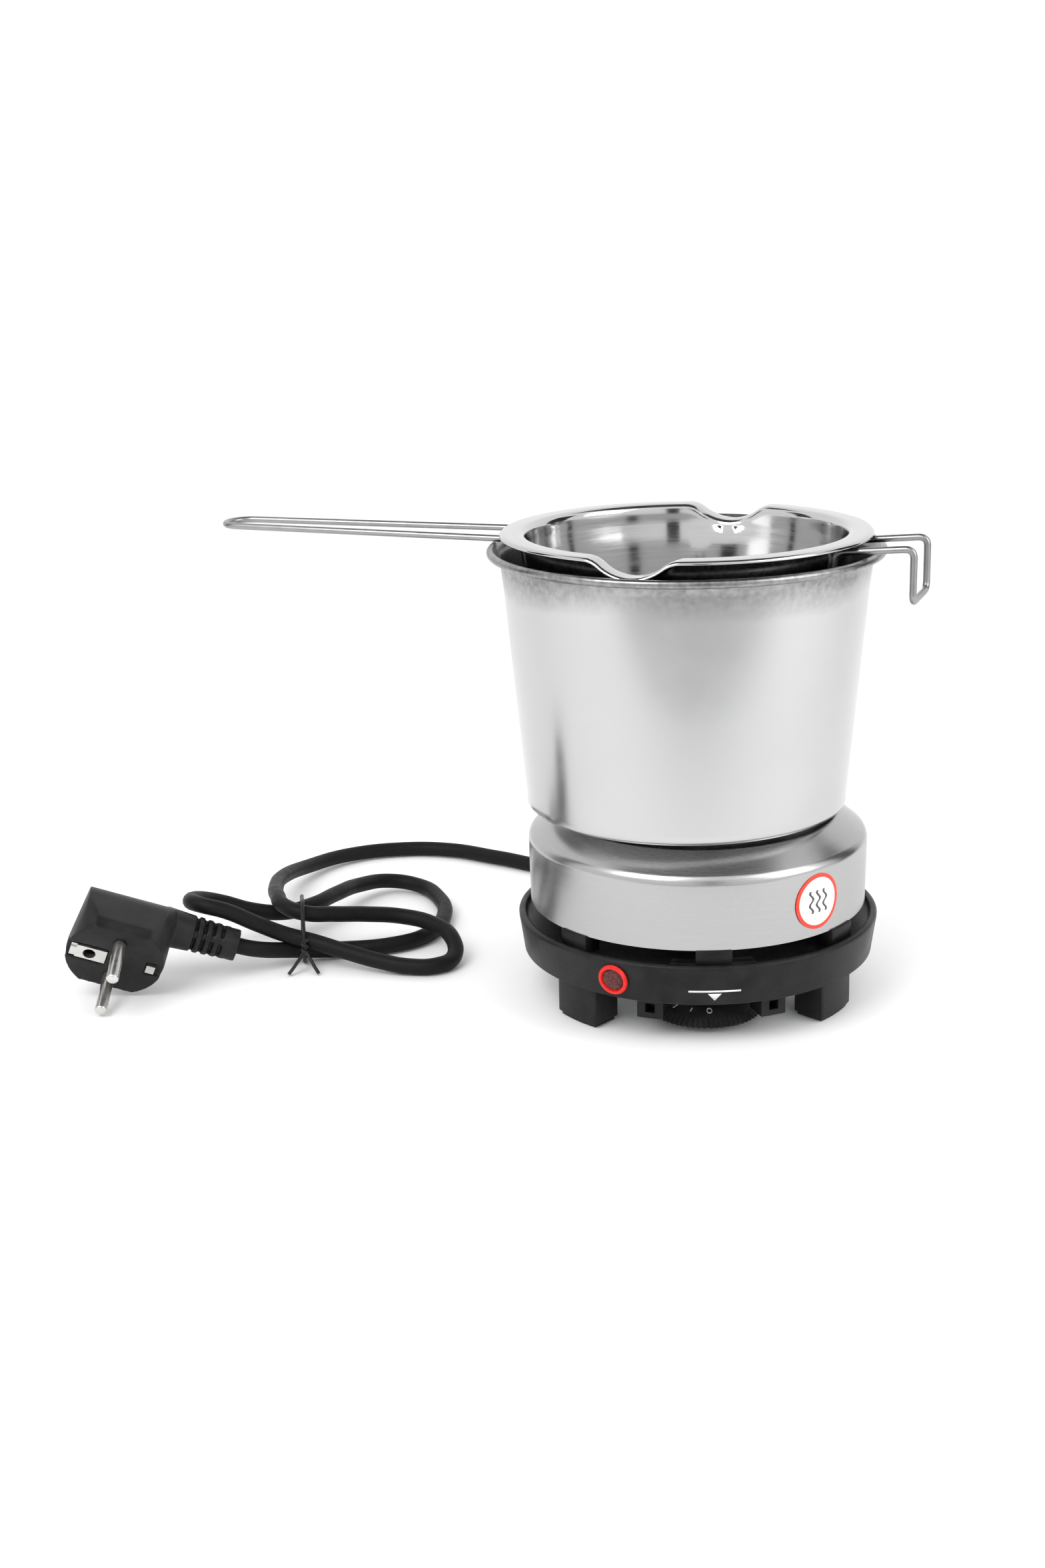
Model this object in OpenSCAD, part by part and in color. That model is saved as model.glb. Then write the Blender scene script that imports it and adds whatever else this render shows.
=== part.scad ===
// Candle melting pot: a small electric hot plate, a deep water pot standing on it, and a spouted
// melting pot that hangs in the water pot by its two wire handles.
// Millimetres. The origin is on the table under the middle of the hot plate, the dial faces -Y, +Z is up.

/* [Hot plate] */
// Outer diameter of the moulded base ring at its top
ring_d = 140; // [136:1:144]
// Height of the base ring's top edge above the table
ring_top = 32.5; // [31:0.5:34]
// Height of the base ring's bottom edge above the table
ring_bottom = 17; // [16:0.5:18]
// Diameter of the steel drum's side
drum_d = 131; // [128:1:132]
// Diameter of the cast iron heating plate
plate_d = 105; // [102:1:106]
// Height of the heating plate's top face
plate_top = 75.2; // [74.8:0.1:76]
// Angle of each foot from the nearest end of the front to back line
foot_angle = 52; // [48:1:56]

/* [Control dial] */
// Diameter of the knurled dial at its bottom edge
dial_d = 42.6; // [40:0.2:44]
// Distance from the hot plate's axis to the dial's axis
dial_offset = 34.8; // [33:0.2:36]
// Number of ribs round the dial
dial_ribs = 60; // [40:4:72]

/* [Water pot] */
// Outer diameter of the rolled rim
rim_d = 149.4; // [147:0.2:151]
// Height from the pot's bottom to the top of its rim
water_pot_h = 99.8; // [98:0.2:101]
// Outer diameter of the wall at the bottom
water_base_d = 123; // [120:1:125]
// Sheet thickness of both pots
sheet = 0.8; // [0.7:0.1:0.9]
// Shift of both pots along X from the hot plate's axis
pot_shift = -4.3; // [-5:0.1:0]

/* [Melting pot] */
// Outer diameter of the flange
flange_d = 139; // [137:1:140]
// Inner diameter of the mouth
mouth_d = 119.6; // [117:0.2:121]
// Depth below the flange
melt_depth = 66; // [60:1:70]
// Outer diameter of the bottom
melt_base_d = 104; // [98:1:108]
// Turn of the melting pot about its own axis
pot_turn = -21.5; // [-30:0.5:0]

/* [Handles] */
// Wire diameter
wire_d = 2.6; // [2.4:0.1:2.8]
// Reach of the long handle from the pot's axis
handle_reach = 194; // [180:1:205]
// Distance between the handle's two wires at the pot
handle_gap = 25; // [22:1:28]
// Reach of the hook from the pot's axis
hook_reach = 88; // [84:1:90]
// Drop of the hook's legs
hook_drop = 17; // [14:1:20]

/* [Cord] */
// Diameter of the mains cord
cord_d = 6.6; // [6.4:0.1:6.8]
// Diameter of the plug's round face
plug_d = 38.6; // [37:0.2:39]

/* [Hidden] */
$fn = 96;
eps = 0.01;

// Base ring
ring_r = ring_d / 2;
ring_bottom_r = ring_r - 2;
ring_wall = 2.6;
ring_inner_r = ring_bottom_r - ring_wall + 0.2;
deck_top = 30;
deck_t = 2.5;
deck_bore_r = 45;
foot_in_r = 50;
foot_out_r = 63.3;
foot_w_angle = 20;
pad_h = 1.2;
FOOT_ANGLES = [-90 - foot_angle, -90 + foot_angle, 90 - foot_angle, 90 + foot_angle];
POST_ANGLES = [-140, -90, -40, 40, 90, 140];
post_half_angle = 5.9;
ledge_half_angle = 14;
drum_bottom = 37.1;
boss_r = 54;
BOSS_ANGLES = [-165, -90, -15, 65, 115];
cover_top = 18.2;
cover_t = 1.2;
cover_screw_r = 1.4;

// Lamp and gland, both through the ring's wall
lamp_angle = -121.5;
lamp_z = 24.8;
lens_r = 5.4;
lens_neck_r = 3.6;
wall_lean = 8;
gland_z = 23.5;
gland_neck_r = 4.6;

// Drum and heater
drum_r = drum_d / 2;
drum_sheet = 0.8;
shoulder_z = 61.5;
shoulder_r = 5;
plate_r = plate_d / 2;
plate_bottom = 67.8;
coil_in_r = 22;
coil_out_r = 44;
coil_wire_r = 1.6;
COIL_RADII = [28, 38];
coil_z = 70.4;
stud_r = 2.5;

// Thermostat
dial_r = dial_d / 2;
spindle_r = 2;
spindle_clear = 0.05;
stack_y = -14;
bracket_z = 42;
arm_hinge_y = -19.4;

// Pots
water_base_z = plate_top + 0.05;
rim_r = rim_d / 2;
rim_top = water_base_z + water_pot_h - 0.05;
bead_r = 1.6;
water_wall_r = rim_r - 5;
water_base_r = water_base_d / 2;
flange_r = flange_d / 2;
flange_top = 180.7;
mouth_r = mouth_d / 2;
melt_base_r = melt_base_d / 2;
wire_r = wire_d / 2;
wire_z = rim_top + wire_r + 0.08;
weld_r = mouth_r + sheet + wire_r - 0.35;
weld_drop = 9;
weld_lean = 1.2;
loop_r = 8.5;
spout_r = 19;
spout_lift = 12.8;
hook_rise = 2.4;
pot_turn_axis = [pot_shift, 0, 0];

// Plug: its face's middle, and the turn that lays it on the table with one pin down
PLUG_AT = [-228.4, -9.8, 18.4];
PLUG_TURN = [117, 20.5, 7.5];
plug_r = plug_d / 2;
plug_flat = 16;
pin_r = 2.4;
pin_len = 19;
pin_root_r = 2.1;
pin_gap = 19;
boot_z = -25.2;
boot_end = 46.5;

// Middle of the mains cord, from inside the plug's sleeve to the clamp in the base
CORD_ROUTE = [
    [-185, 18.7, 13], [-177, 21.5, 10], [-163, 31, 5.6], [-146, 36, 3.5], [-122, 40, 3.5],
    [-109, 50, 3.5], [-102, 72, 3.5], [-105, 98, 3.5], [-114, 113, 4], [-127, 116, 5.5],
    [-140, 104, 8], [-149, 84, 11], [-158, 66, 12.5], [-169, 57, 12.8], [-182, 55, 15],
    [-194, 53, 19.5], [-202, 45, 24], [-204, 34, 27], [-199, 25, 28.5], [-188, 23, 26],
    [-177, 26, 19.5], [-166, 29.5, 13.2], [-154, 27.5, 10.3], [-141, 23, 7.4], [-127, 18, 4.8],
    [-115, 14.5, 3.5], [-104, 14.5, 3.5], [-97, 22, 4], [-98, 34, 8.5], [-106, 44, 10.8],
    [-119, 49.5, 12.4], [-133, 47, 14.6], [-146, 41.5, 17], [-158, 38, 19], [-167, 44, 20.3],
    [-171, 57, 20], [-174, 78, 16.5], [-174, 106, 12], [-165, 139, 6], [-148, 160, 4],
    [-125, 168, 3.5], [-101, 165, 3.5], [-79, 152, 3.5], [-49, 132, 4], [-28, 123, 8],
    [-11, 114, 14.5], [-2, 104, 21], [0, 93, 23.5], [0, 78, 23.5], [0, 54, 23.5]
];

// A path swept with a ring of sides at every point; each ring's first direction is carried along the path
function unit(v) = v / norm(v);
function tangent(path, i) = unit(path[min(i + 1, len(path) - 1)] - path[max(i - 1, 0)]);
function across(path, i, last) = let (t = tangent(path, i)) unit(last - (last * t) * t);
function carried(path, last = [0.1, 0.2, 1], i = 0) =
    i == len(path) ? [] : let (n = across(path, i, last)) concat([n], carried(path, n, i + 1));
function ring_points(path, normals, r, sides) = [
    for (i = [0 : len(path) - 1])
        let (n = normals[i], b = cross(tangent(path, i), n))
            for (k = [0 : sides - 1]) path[i] + r * (cos(360 * k / sides) * n + sin(360 * k / sides) * b)
];
function ring_faces(rings, sides) = [
    for (i = [0 : rings - 2], k = [0 : sides - 1])
        let (a = i * sides + k, b = i * sides + (k + 1) % sides)
            each [[a, a + sides, b], [b, a + sides, b + sides]]
];

// A path whose inner corners are rounded, one reach for each corner
function corner(a, p, b, r) = let (u = p + r * unit(a - p), v = p + r * unit(b - p))
    [for (t = [0 : 1 / 6 : 1 + eps]) (1 - t) * (1 - t) * u + 2 * t * (1 - t) * p + t * t * v];
function rounded(path, reach) = concat(
    [path[0]],
    [for (i = [1 : len(path) - 2]) each corner(path[i - 1], path[i], path[i + 1], reach[i - 1])],
    [path[len(path) - 1]]
);

module tube(path, r, sides = 8) {
    last = (len(path) - 1) * sides;
    polyhedron(
        points = ring_points(path, carried(path), r, sides),
        faces = concat(
            [[for (k = [0 : sides - 1]) k]],
            [[for (k = [0 : sides - 1]) last + sides - 1 - k]],
            ring_faces(len(path), sides)
        )
    );
}

// A part of a turned profile, centred on an angle about Z
module wedge(middle, half) {
    rotate([0, 0, middle - half]) rotate_extrude(angle = 2 * half) children();
}

// Something along a radius of the hot plate, its own Z pointing outwards
module radial(angle, r, z) {
    rotate([0, 0, angle]) translate([r, 0, z]) rotate([0, 90, 0]) children();
}

module disc(r, z0, z1) {
    translate([0, 0, z0]) cylinder(r = r, h = z1 - z0);
}

module washer(r_out, r_in, z0, z1) {
    difference() {
        disc(r_out, z0, z1);
        disc(r_in, z0 - 1, z1 + 1);
    }
}

// A pan head screw pointing up, its head's underside at z = 0
module screw(r, len, head_r, head_h) {
    cylinder(r = r, h = len, $fn = 32);
    difference() {
        translate([0, 0, -head_h]) cylinder(r = head_r, h = head_h, $fn = 32);
        translate([-head_r * 0.7, -0.3, -head_h - eps]) cube([head_r * 1.4, 0.6, 0.6]);
        translate([-0.3, -head_r * 0.7, -head_h - eps]) cube([0.6, head_r * 1.4, 0.6]);
    }
}

module hex_nut(z0, h, across_flats = 8) {
    translate([0, 0, z0]) difference() {
        cylinder(d = across_flats / cos(30), h = h, $fn = 6);
        translate([0, 0, -1]) cylinder(r = stud_r + spindle_clear, h = h + 2, $fn = 48);
    }
}

module foot_profile(z0, z1, grow = 0) {
    translate([foot_in_r - grow, z0]) square([foot_out_r - foot_in_r + 2 * grow, z1 - z0]);
}

module ring_profile() {
    polygon([
        [deck_bore_r, deck_top - deck_t], [ring_inner_r, deck_top - deck_t],
        [ring_inner_r, ring_bottom], [ring_bottom_r, ring_bottom],
        [ring_r - 0.1, ring_top - 1.6], [ring_r - 0.9, ring_top],
        [ring_r - ring_wall, ring_top], [ring_r - ring_wall - 0.6, deck_top], [deck_bore_r, deck_top]
    ]);
}

module ring_posts() {
    for (a = POST_ANGLES) wedge(a, post_half_angle)
        translate([58, deck_top - 1]) square([8, drum_bottom - deck_top + 1]);
    wedge(-90, ledge_half_angle) translate([60.5, deck_top - 0.5]) square([5.2, 2.8]);
    for (a = BOSS_ANGLES) rotate([0, 0, a]) translate([boss_r, 0, cover_top])
        cylinder(r = 3.5, h = deck_top - cover_top - 1);
}

module ring_holes() {
    radial(lamp_angle, 60, lamp_z) cylinder(r = lens_neck_r + 0.6, h = 12);
    radial(90, 55, gland_z) cylinder(r = gland_neck_r + 0.05, h = 17);
    for (a = BOSS_ANGLES) rotate([0, 0, a]) translate([boss_r, 0, cover_top - 1])
        cylinder(r = cover_screw_r + spindle_clear, h = 9, $fn = 32);
    for (x = [-50, 50]) translate([x, 0, deck_top - deck_t - 1])
        cylinder(r = 1.6, h = deck_t + 2, $fn = 32);
}

module base_ring() {
    color([0.08, 0.08, 0.09]) difference() {
        union() {
            rotate_extrude() ring_profile();
            for (a = FOOT_ANGLES) wedge(a, foot_w_angle / 2) foot_profile(pad_h, deck_top - 1);
            ring_posts();
        }
        ring_holes();
    }
}

module rubber_feet() {
    color([0.12, 0.12, 0.12]) for (a = FOOT_ANGLES)
        wedge(a, foot_w_angle / 2 - 1.2) foot_profile(0, pad_h, -1);
}

module bottom_cover() {
    color([0.55, 0.56, 0.58]) difference() {
        disc(ring_inner_r - 0.3, cover_top - cover_t, cover_top);
        for (a = FOOT_ANGLES) wedge(a, foot_w_angle / 2 + 0.7) translate([foot_in_r - 0.6, 10]) square([20, 20]);
        translate([0, -dial_offset, 0]) disc(spindle_r + 1.2, 10, 20);
        for (a = BOSS_ANGLES) rotate([0, 0, a]) translate([boss_r, 0, 10])
            cylinder(r = cover_screw_r + 0.2, h = 12, $fn = 32);
        for (x = [-20 : 8 : 20]) translate([x, 18, 10]) vent_slot(16);
    }
}

// A slot with round ends along Y
module vent_slot(len) {
    translate([-1.5, -len / 2, 0]) cube([3, len, 12]);
    for (y = [-len / 2, len / 2]) translate([0, y, 0]) cylinder(r = 1.5, h = 12, $fn = 32);
}

module cover_screws() {
    color([0.7, 0.71, 0.73]) for (a = BOSS_ANGLES) rotate([0, 0, a])
        translate([boss_r, 0, cover_top - cover_t]) screw(cover_screw_r, 8, 2.8, 1.6);
}

module dial_housing() {
    housing_top = cover_top - cover_t;
    window_z = 10.7;
    color([0.07, 0.07, 0.08]) {
        wedge(-90, 26) translate([58.5, housing_top - 1.4]) square([4, 1.4]);
        for (side = [-1, 1]) difference() {
            wedge(-90 + side * 21.5, 4.6) translate([52, 8.5]) square([10.5, housing_top - 8.5]);
            wedge(-90 + side * 21.5, 1.7) translate([57, window_z]) square([8, 3.6]);
        }
    }
}

// Sheet profile: side, rounded shoulder, sloping top, then down to the seat for the heating plate
module drum_profile() {
    seat_r = plate_r + 0.5;
    centre = [drum_r - shoulder_r, shoulder_z];
    polygon(concat(
        [[drum_r - 0.4, drum_bottom]],
        [for (a = [0 : 5 : 50]) centre + shoulder_r * [cos(a), sin(a)]],
        [
            [seat_r + 1.2, 72.6], [seat_r, 72.2], [seat_r, plate_bottom], [seat_r - 4.5, plate_bottom],
            [seat_r - 4.5, plate_bottom - drum_sheet], [seat_r + 0.8, plate_bottom - drum_sheet], [seat_r + 0.8, 71.6]
        ],
        [for (a = [50 : -5 : 0]) centre + (shoulder_r - drum_sheet) * [cos(a), sin(a)]],
        [[drum_r - 0.4 - drum_sheet, drum_bottom]]
    ));
}

module steel_drum() {
    color([0.75, 0.75, 0.76]) rotate_extrude() drum_profile();
}

module heat_sticker() {
    color([0.95, 0.95, 0.94]) intersection() {
        washer(drum_r + 0.22, drum_r + 0.02, drum_bottom, shoulder_z);
        radial(-52.9, drum_r - 5, 50.6) cylinder(r = 10.6, h = 10);
    }
}

module plate_profile() {
    polygon([
        [0, plate_bottom], [plate_r - 1, plate_bottom], [plate_r, plate_bottom + 1],
        [plate_r, plate_top - 1], [plate_r - 1, plate_top], [0, plate_top]
    ]);
}

module heating_plate() {
    color([0.5, 0.5, 0.5]) difference() {
        rotate_extrude() plate_profile();
        washer(coil_out_r, coil_in_r, plate_bottom - 1, 72.6);
        for (r = [16 : 8 : 48]) washer(r + 0.4, r - 0.4, plate_top - 0.3, plate_top + 1);
        disc(stud_r + spindle_clear, plate_bottom - 1, 72);
    }
}

module coil_rings(r, half) {
    for (c = COIL_RADII) rotate([0, 0, 180 - half]) rotate_extrude(angle = 2 * half)
        translate([c, coil_z]) circle(r = r, $fn = 32);
}

module coil_tails(r) {
    for (c = COIL_RADII, side = [-1, 1]) rotate([0, 0, 180 + side * 168]) translate([c, 0, 60])
        cylinder(r = r, h = coil_z - 60, $fn = 32);
}

module heating_coil() {
    color([0.45, 0.4, 0.36]) for (c = COIL_RADII) tube(concat(
        [[c * cos(12), c * sin(12), 62], [c * cos(12), c * sin(12), coil_z - 1.5]],
        [for (a = [14 : 8 : 346]) [c * cos(a), c * sin(a), coil_z]],
        [[c * cos(12), -c * sin(12), coil_z - 1.5], [c * cos(12), -c * sin(12), 62]]
    ), coil_wire_r - 0.2, 10);
}

module coil_insulation() {
    color([0.9, 0.88, 0.82]) difference() {
        washer(coil_out_r - 0.1, coil_in_r + 0.1, plate_bottom + 0.1, 72.4);
        coil_rings(coil_wire_r + 0.1, 169);
        coil_tails(coil_wire_r + 0.2);
    }
}

module coil_cover_plate() {
    color([0.62, 0.63, 0.65]) difference() {
        disc(46, 66.5, plate_bottom - 0.05);
        disc(stud_r + 0.3, 60, 80);
        coil_tails(coil_wire_r + 0.6);
    }
}

module reflector_pan() {
    color([0.78, 0.79, 0.8]) difference() {
        rotate_extrude() polygon([[0, 58], [40, 58], [47, 62], [47, 63], [39.7, 58.8], [0, 58.8]]);
        disc(stud_r + 0.3, 50, 70);
        translate([34, 0, 50]) cylinder(r = 10, h = 20);
        translate([0, stack_y, 50]) cylinder(r = 1.6, h = 20, $fn = 32);
    }
}

module centre_stud() {
    color([0.72, 0.72, 0.74]) disc(stud_r, 20.5, 71.5);
}

module stud_nuts() {
    color([0.7, 0.7, 0.72]) {
        hex_nut(63.9, 2.5);
        hex_nut(59, 2.6);
        hex_nut(54, 4);
        hex_nut(bracket_z + 1.7, 3);
        hex_nut(bracket_z - 3.1, 3);
        hex_nut(21.6, 3.9);
    }
}

module cross_bracket() {
    color([0.6, 0.61, 0.63]) difference() {
        translate([-55, -8, 25.6]) cube([110, 16, 1.8]);
        disc(stud_r + 0.3, 20, 30);
        for (x = [-50, 50]) translate([x, 0, 20]) cylinder(r = 1.7, h = 10, $fn = 32);
    }
}

module bracket_screws() {
    color([0.72, 0.72, 0.74]) for (x = [-50, 50]) translate([x, 0, 25.6]) screw(1.5, 6, 3, 1.8);
}

module thermostat_bracket() {
    color([0.68, 0.69, 0.7]) difference() {
        union() {
            translate([-6, -dial_offset - 6, bracket_z]) cube([12, dial_offset + 6, 1.6]);
            translate([0, 0, bracket_z]) cylinder(r = 6, h = 1.6);
        }
        disc(stud_r + 0.3, 30, 50);
        translate([0, -dial_offset, 30]) cylinder(r = 3.2, h = 20, $fn = 48);
        translate([0, stack_y, 30]) cylinder(r = 1.6, h = 20, $fn = 32);
    }
}

module thermostat_insulators() {
    color([0.93, 0.92, 0.88]) translate([0, stack_y, 0]) {
        disc(4.6, bracket_z + 1.6, 47.4);
        disc(4.6, 48, 49.85);
        disc(4.6, 50.55, 51.4);
        disc(4.6, 52.6, 57.9);
        disc(1.5, bracket_z - 0.8, 58.9);
    }
}

module fixed_contact_leaf() {
    color([0.8, 0.6, 0.3]) difference() {
        union() {
            translate([-3, stack_y - 12, 47.4]) cube([6, 16, 0.6]);
            translate([0, stack_y - 9, 48]) cylinder(r = 1.5, h = 1, $fn = 32);
        }
        translate([0, stack_y, 40]) cylinder(r = 1.6, h = 20, $fn = 32);
    }
}

module bimetal_strip() {
    color([0.74, 0.66, 0.5]) difference() {
        translate([-4, stack_y - 24, 51.5]) cube([8, 29, 1]);
        translate([0, stack_y, 40]) cylinder(r = 1.6, h = 20, $fn = 32);
    }
}

module arm_root() {
    color([0.82, 0.64, 0.34]) difference() {
        translate([-2.5, arm_hinge_y + 0.1, 49.9]) cube([5, 9, 0.6]);
        translate([0, stack_y, 40]) cylinder(r = 1.6, h = 20, $fn = 32);
    }
}

module contact_arm() {
    color([0.82, 0.64, 0.34]) {
        translate([-2.5, -dial_offset - 1.5, 49.9]) cube([5, dial_offset + 1.5 + arm_hinge_y, 0.6]);
        translate([0, stack_y - 9, 49.3]) cylinder(r = 1.5, h = 0.7, $fn = 32);
    }
}

module threaded_bush() {
    color([0.78, 0.66, 0.36]) translate([0, -dial_offset, 0]) {
        washer(3.15, spindle_r + spindle_clear, bracket_z - 4, bracket_z + 3.6);
        washer(5, spindle_r + spindle_clear, bracket_z - 4, bracket_z - 0.05);
    }
}

module thermostat_spindle() {
    color([0.8, 0.8, 0.78]) translate([0, -dial_offset, 0]) {
        disc(spindle_r, 4.2, 48.6);
        disc(1.2, 48.5, 49.6);
    }
}

// The dial's knurled flank: a toothed disc that narrows upwards
module dial_flank() {
    translate([0, 0, 2.6]) linear_extrude(height = 2.9, scale = 0.865)
        polygon([for (i = [0 : 2 * dial_ribs - 1])
            (dial_r - (i % 2) * 0.7) * [cos(180 * i / dial_ribs), sin(180 * i / dial_ribs)]]);
}

module thermostat_dial() {
    color([0.09, 0.09, 0.1]) translate([0, -dial_offset, 0]) difference() {
        union() {
            dial_flank();
            rotate_extrude() polygon([[0, 3], [17.8, 3], [17.8, 5.5], [16.5, 6.6], [9, 8.2], [9, 11], [0, 11]]);
        }
        disc(spindle_r + 0.02, 4.1, 12);
    }
}

module lamp_lens() {
    color([0.8, 0.1, 0.1, 0.8]) radial(lamp_angle, 69.07, lamp_z) rotate([0, wall_lean, 0]) {
        translate([0, 0, 0.1]) cylinder(r = lens_r, h = 1.4);
        translate([0, 0, -5]) cylinder(r = lens_neck_r, h = 5.2);
        translate([0, 0, 1.4]) cylinder(r = 3.5, h = 0.8);
    }
}

module lamp_holder() {
    color([0.86, 0.86, 0.84]) radial(lamp_angle, 0, lamp_z - 1.2) difference() {
        translate([0, 0, 55]) cylinder(r = 3.6, h = 8.9);
        translate([0, 0, 56]) cylinder(r = 2.4, h = 10);
        translate([0, 0, 50]) cylinder(r = 1.2, h = 10, $fn = 32);
    }
}

module neon_bulb() {
    color([1, 0.55, 0.35, 0.7]) radial(lamp_angle, 0, lamp_z - 1.2) {
        translate([0, 0, 56.6]) cylinder(r = 2.1, h = 5);
        translate([0, 0, 61.6]) sphere(r = 2.1, $fn = 48);
    }
}

module lamp_resistor() {
    color([0.75, 0.62, 0.42]) rotate([0, 0, lamp_angle]) translate([46, 0, 22]) rotate([90, 0, 0]) {
        cylinder(r = 1.2, h = 6, center = true, $fn = 32);
        cylinder(r = 0.35, h = 16, center = true, $fn = 16);
    }
}

module terminal_block() {
    color([0.9, 0.9, 0.88]) difference() {
        translate([12, 20, cover_top]) cube([24, 14, 8.6]);
        for (x = [16, 24, 32]) {
            translate([x, 19, cover_top + 4]) rotate([-90, 0, 0]) cylinder(r = 1.6, h = 16, $fn = 32);
            translate([x, 24, cover_top + 4]) cylinder(r = 1.7, h = 6, $fn = 32);
            translate([x, 30, cover_top + 4]) cylinder(r = 1.7, h = 6, $fn = 32);
        }
    }
}

module terminal_screws() {
    color([0.82, 0.72, 0.4]) for (x = [16, 24, 32], y = [24, 30])
        translate([x, y, cover_top + 5.8]) difference() {
            cylinder(r = 1.5, h = 2.4, $fn = 32);
            translate([-1.5, -0.25, 1.9]) cube([3, 0.5, 1]);
        }
}

module live_wire() {
    color([0.35, 0.22, 0.12]) tube([
        [-2.4, 51, 23.5], [2, 44, 23], [10, 39, 22.4], [16, 34.2, 22.2], [16, 27, 22.2], [16, 20, 22.2],
        [17, 16, 24], [22, 14, 32], [27, 12, 44], [27.5, 6.2, 55], [27.4, 5.8, 61.9]
    ], 1.1);
}

module neutral_wire() {
    color([0.15, 0.3, 0.6]) tube([
        [0, 51, 25], [8, 45, 24.6], [18, 40, 23], [24, 34.2, 22.2], [24, 27, 22.2], [24, 20, 22.2],
        [26, 16, 24], [30, 12, 32], [34, 2, 44], [36, -5, 54], [37.2, -7.9, 61.9]
    ], 1.1);
}

module earth_wire() {
    color([0.3, 0.55, 0.2]) tube([
        [2.4, 51, 23], [14, 46, 22.8], [26, 42, 22.6], [32, 34.2, 22.2], [32, 27, 22.2], [32, 20, 22.2],
        [33, 16, 22.4], [38, 12, 23.4], [40, 6, 24.2], [40, 3, 24.4]
    ], 1.1);
}

module earth_tag() {
    color([0.8, 0.7, 0.42]) difference() {
        union() {
            translate([40, 0, 24.8]) cylinder(r = 3, h = 0.8, $fn = 48);
            translate([38.6, 2, 23.2]) cube([2.8, 2.4, 2.4]);
        }
        translate([40, 0, 20]) cylinder(r = 1.5, h = 10, $fn = 32);
        translate([40, 6, 24.4]) rotate([90, 0, 0]) cylinder(r = 1.12, h = 4, $fn = 32);
    }
}

module cord_gland() {
    color([0.06, 0.06, 0.07]) radial(90, 0, gland_z) difference() {
        union() {
            translate([0, 0, 61]) cylinder(r = gland_neck_r, h = 9);
            translate([0, 0, 69.9]) cylinder(r = 6.4, h = 1.8);
            translate([0, 0, 71.6]) cylinder(r1 = 6.2, r2 = 4.6, h = 20);
        }
        translate([0, 0, 50]) cylinder(r = cord_d / 2 + 0.4, h = 60);
        for (z = [74 : 3 : 89], a = [0, 180]) rotate([0, 0, a + z * 60]) translate([-4, 4.2, z])
            cube([8, 3, 1]);
    }
}

module cord_clamp() {
    color([0.12, 0.12, 0.13]) difference() {
        translate([-10, 53, cover_top]) cube([20, 7, 9.2]);
        translate([0, 50, gland_z]) rotate([-90, 0, 0]) cylinder(r = cord_d / 2 + 0.1, h = 20);
        for (x = [-7, 7]) translate([x, 56.5, cover_top - 1]) cylinder(r = 1.35, h = 12, $fn = 32);
    }
}

module clamp_screws() {
    color([0.72, 0.72, 0.74]) for (x = [-7, 7]) translate([x, 56.5, cover_top]) cylinder(r = 1.3, h = 8.6, $fn = 32);
}

module mains_cord() {
    color([0.08, 0.08, 0.09]) tube(CORD_ROUTE, cord_d / 2, 10);
}

module in_plug_frame() {
    translate(PLUG_AT) rotate(PLUG_TURN) children();
}

module face_outline(r, flat) {
    intersection() {
        circle(r = r);
        square([2 * r, 2 * flat], center = true);
    }
}

module plug_sleeve() {
    boot_r = 7.3;
    rotate([0, 90, 0]) {
        translate([0, 0, 16]) cylinder(r1 = boot_r + 0.8, r2 = boot_r, h = 12, $fn = 48);
        translate([0, 0, 16]) cylinder(r = 4.9, h = boot_end - 16, $fn = 48);
        for (i = [0 : 3]) translate([0, 0, 29.4 + 3.6 * i]) cylinder(r = boot_r - 0.2 * i, h = 2, $fn = 48);
        translate([0, 0, 43]) cylinder(r = boot_r - 0.8, h = boot_end - 43, $fn = 48);
        for (a = [45, 135]) rotate([0, 0, a]) translate([-6.3, -1.3, 20]) cube([12.6, 2.6, boot_end - 21]);
    }
}

module plug_body() {
    color([0.08, 0.08, 0.09]) in_plug_frame() difference() {
        union() {
            hull() {
                translate([0, 0, -6]) linear_extrude(height = 5.5) face_outline(plug_r, plug_flat);
                translate([-16, 0, -17]) rotate([0, 90, 0]) cylinder(r = 13.5, h = 31, $fn = 40);
                translate([18, 0, boot_z]) rotate([0, 90, 0]) cylinder(r = 7.8, h = 2, $fn = 32);
            }
            translate([0, 0, boot_z]) plug_sleeve();
        }
        translate([0, 0, -2.1]) cylinder(r = 14, h = 4);
        translate([-20, -4.2, -2.6]) cube([17, 8.4, 4]);
        translate([12, -3.5, -2.6]) cube([9, 7, 4]);
        translate([boot_end - 3, 0, boot_z]) rotate([0, 90, 0]) cylinder(r = cord_d / 2 + 0.3, h = 5, $fn = 48);
        translate([-10, 0, -17]) cylinder(r = 2.8, h = 16, $fn = 48);
        for (s = [-1, 1]) translate([0, s * pin_gap / 2, -7.6]) cylinder(r = pin_root_r, h = 9, $fn = 48);
    }
}

module plug_face() {
    color([0.1, 0.1, 0.11]) in_plug_frame() difference() {
        translate([0, 0, -2]) cylinder(r = 13.9, h = 1.9);
        for (s = [-1, 1]) translate([0, s * pin_gap / 2, -4]) cylinder(r = pin_root_r, h = 9, $fn = 48);
        translate([-20, -4.2, -2.6]) cube([17, 8.4, 4]);
        translate([12, -3.5, -2.6]) cube([9, 7, 4]);
    }
}

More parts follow.
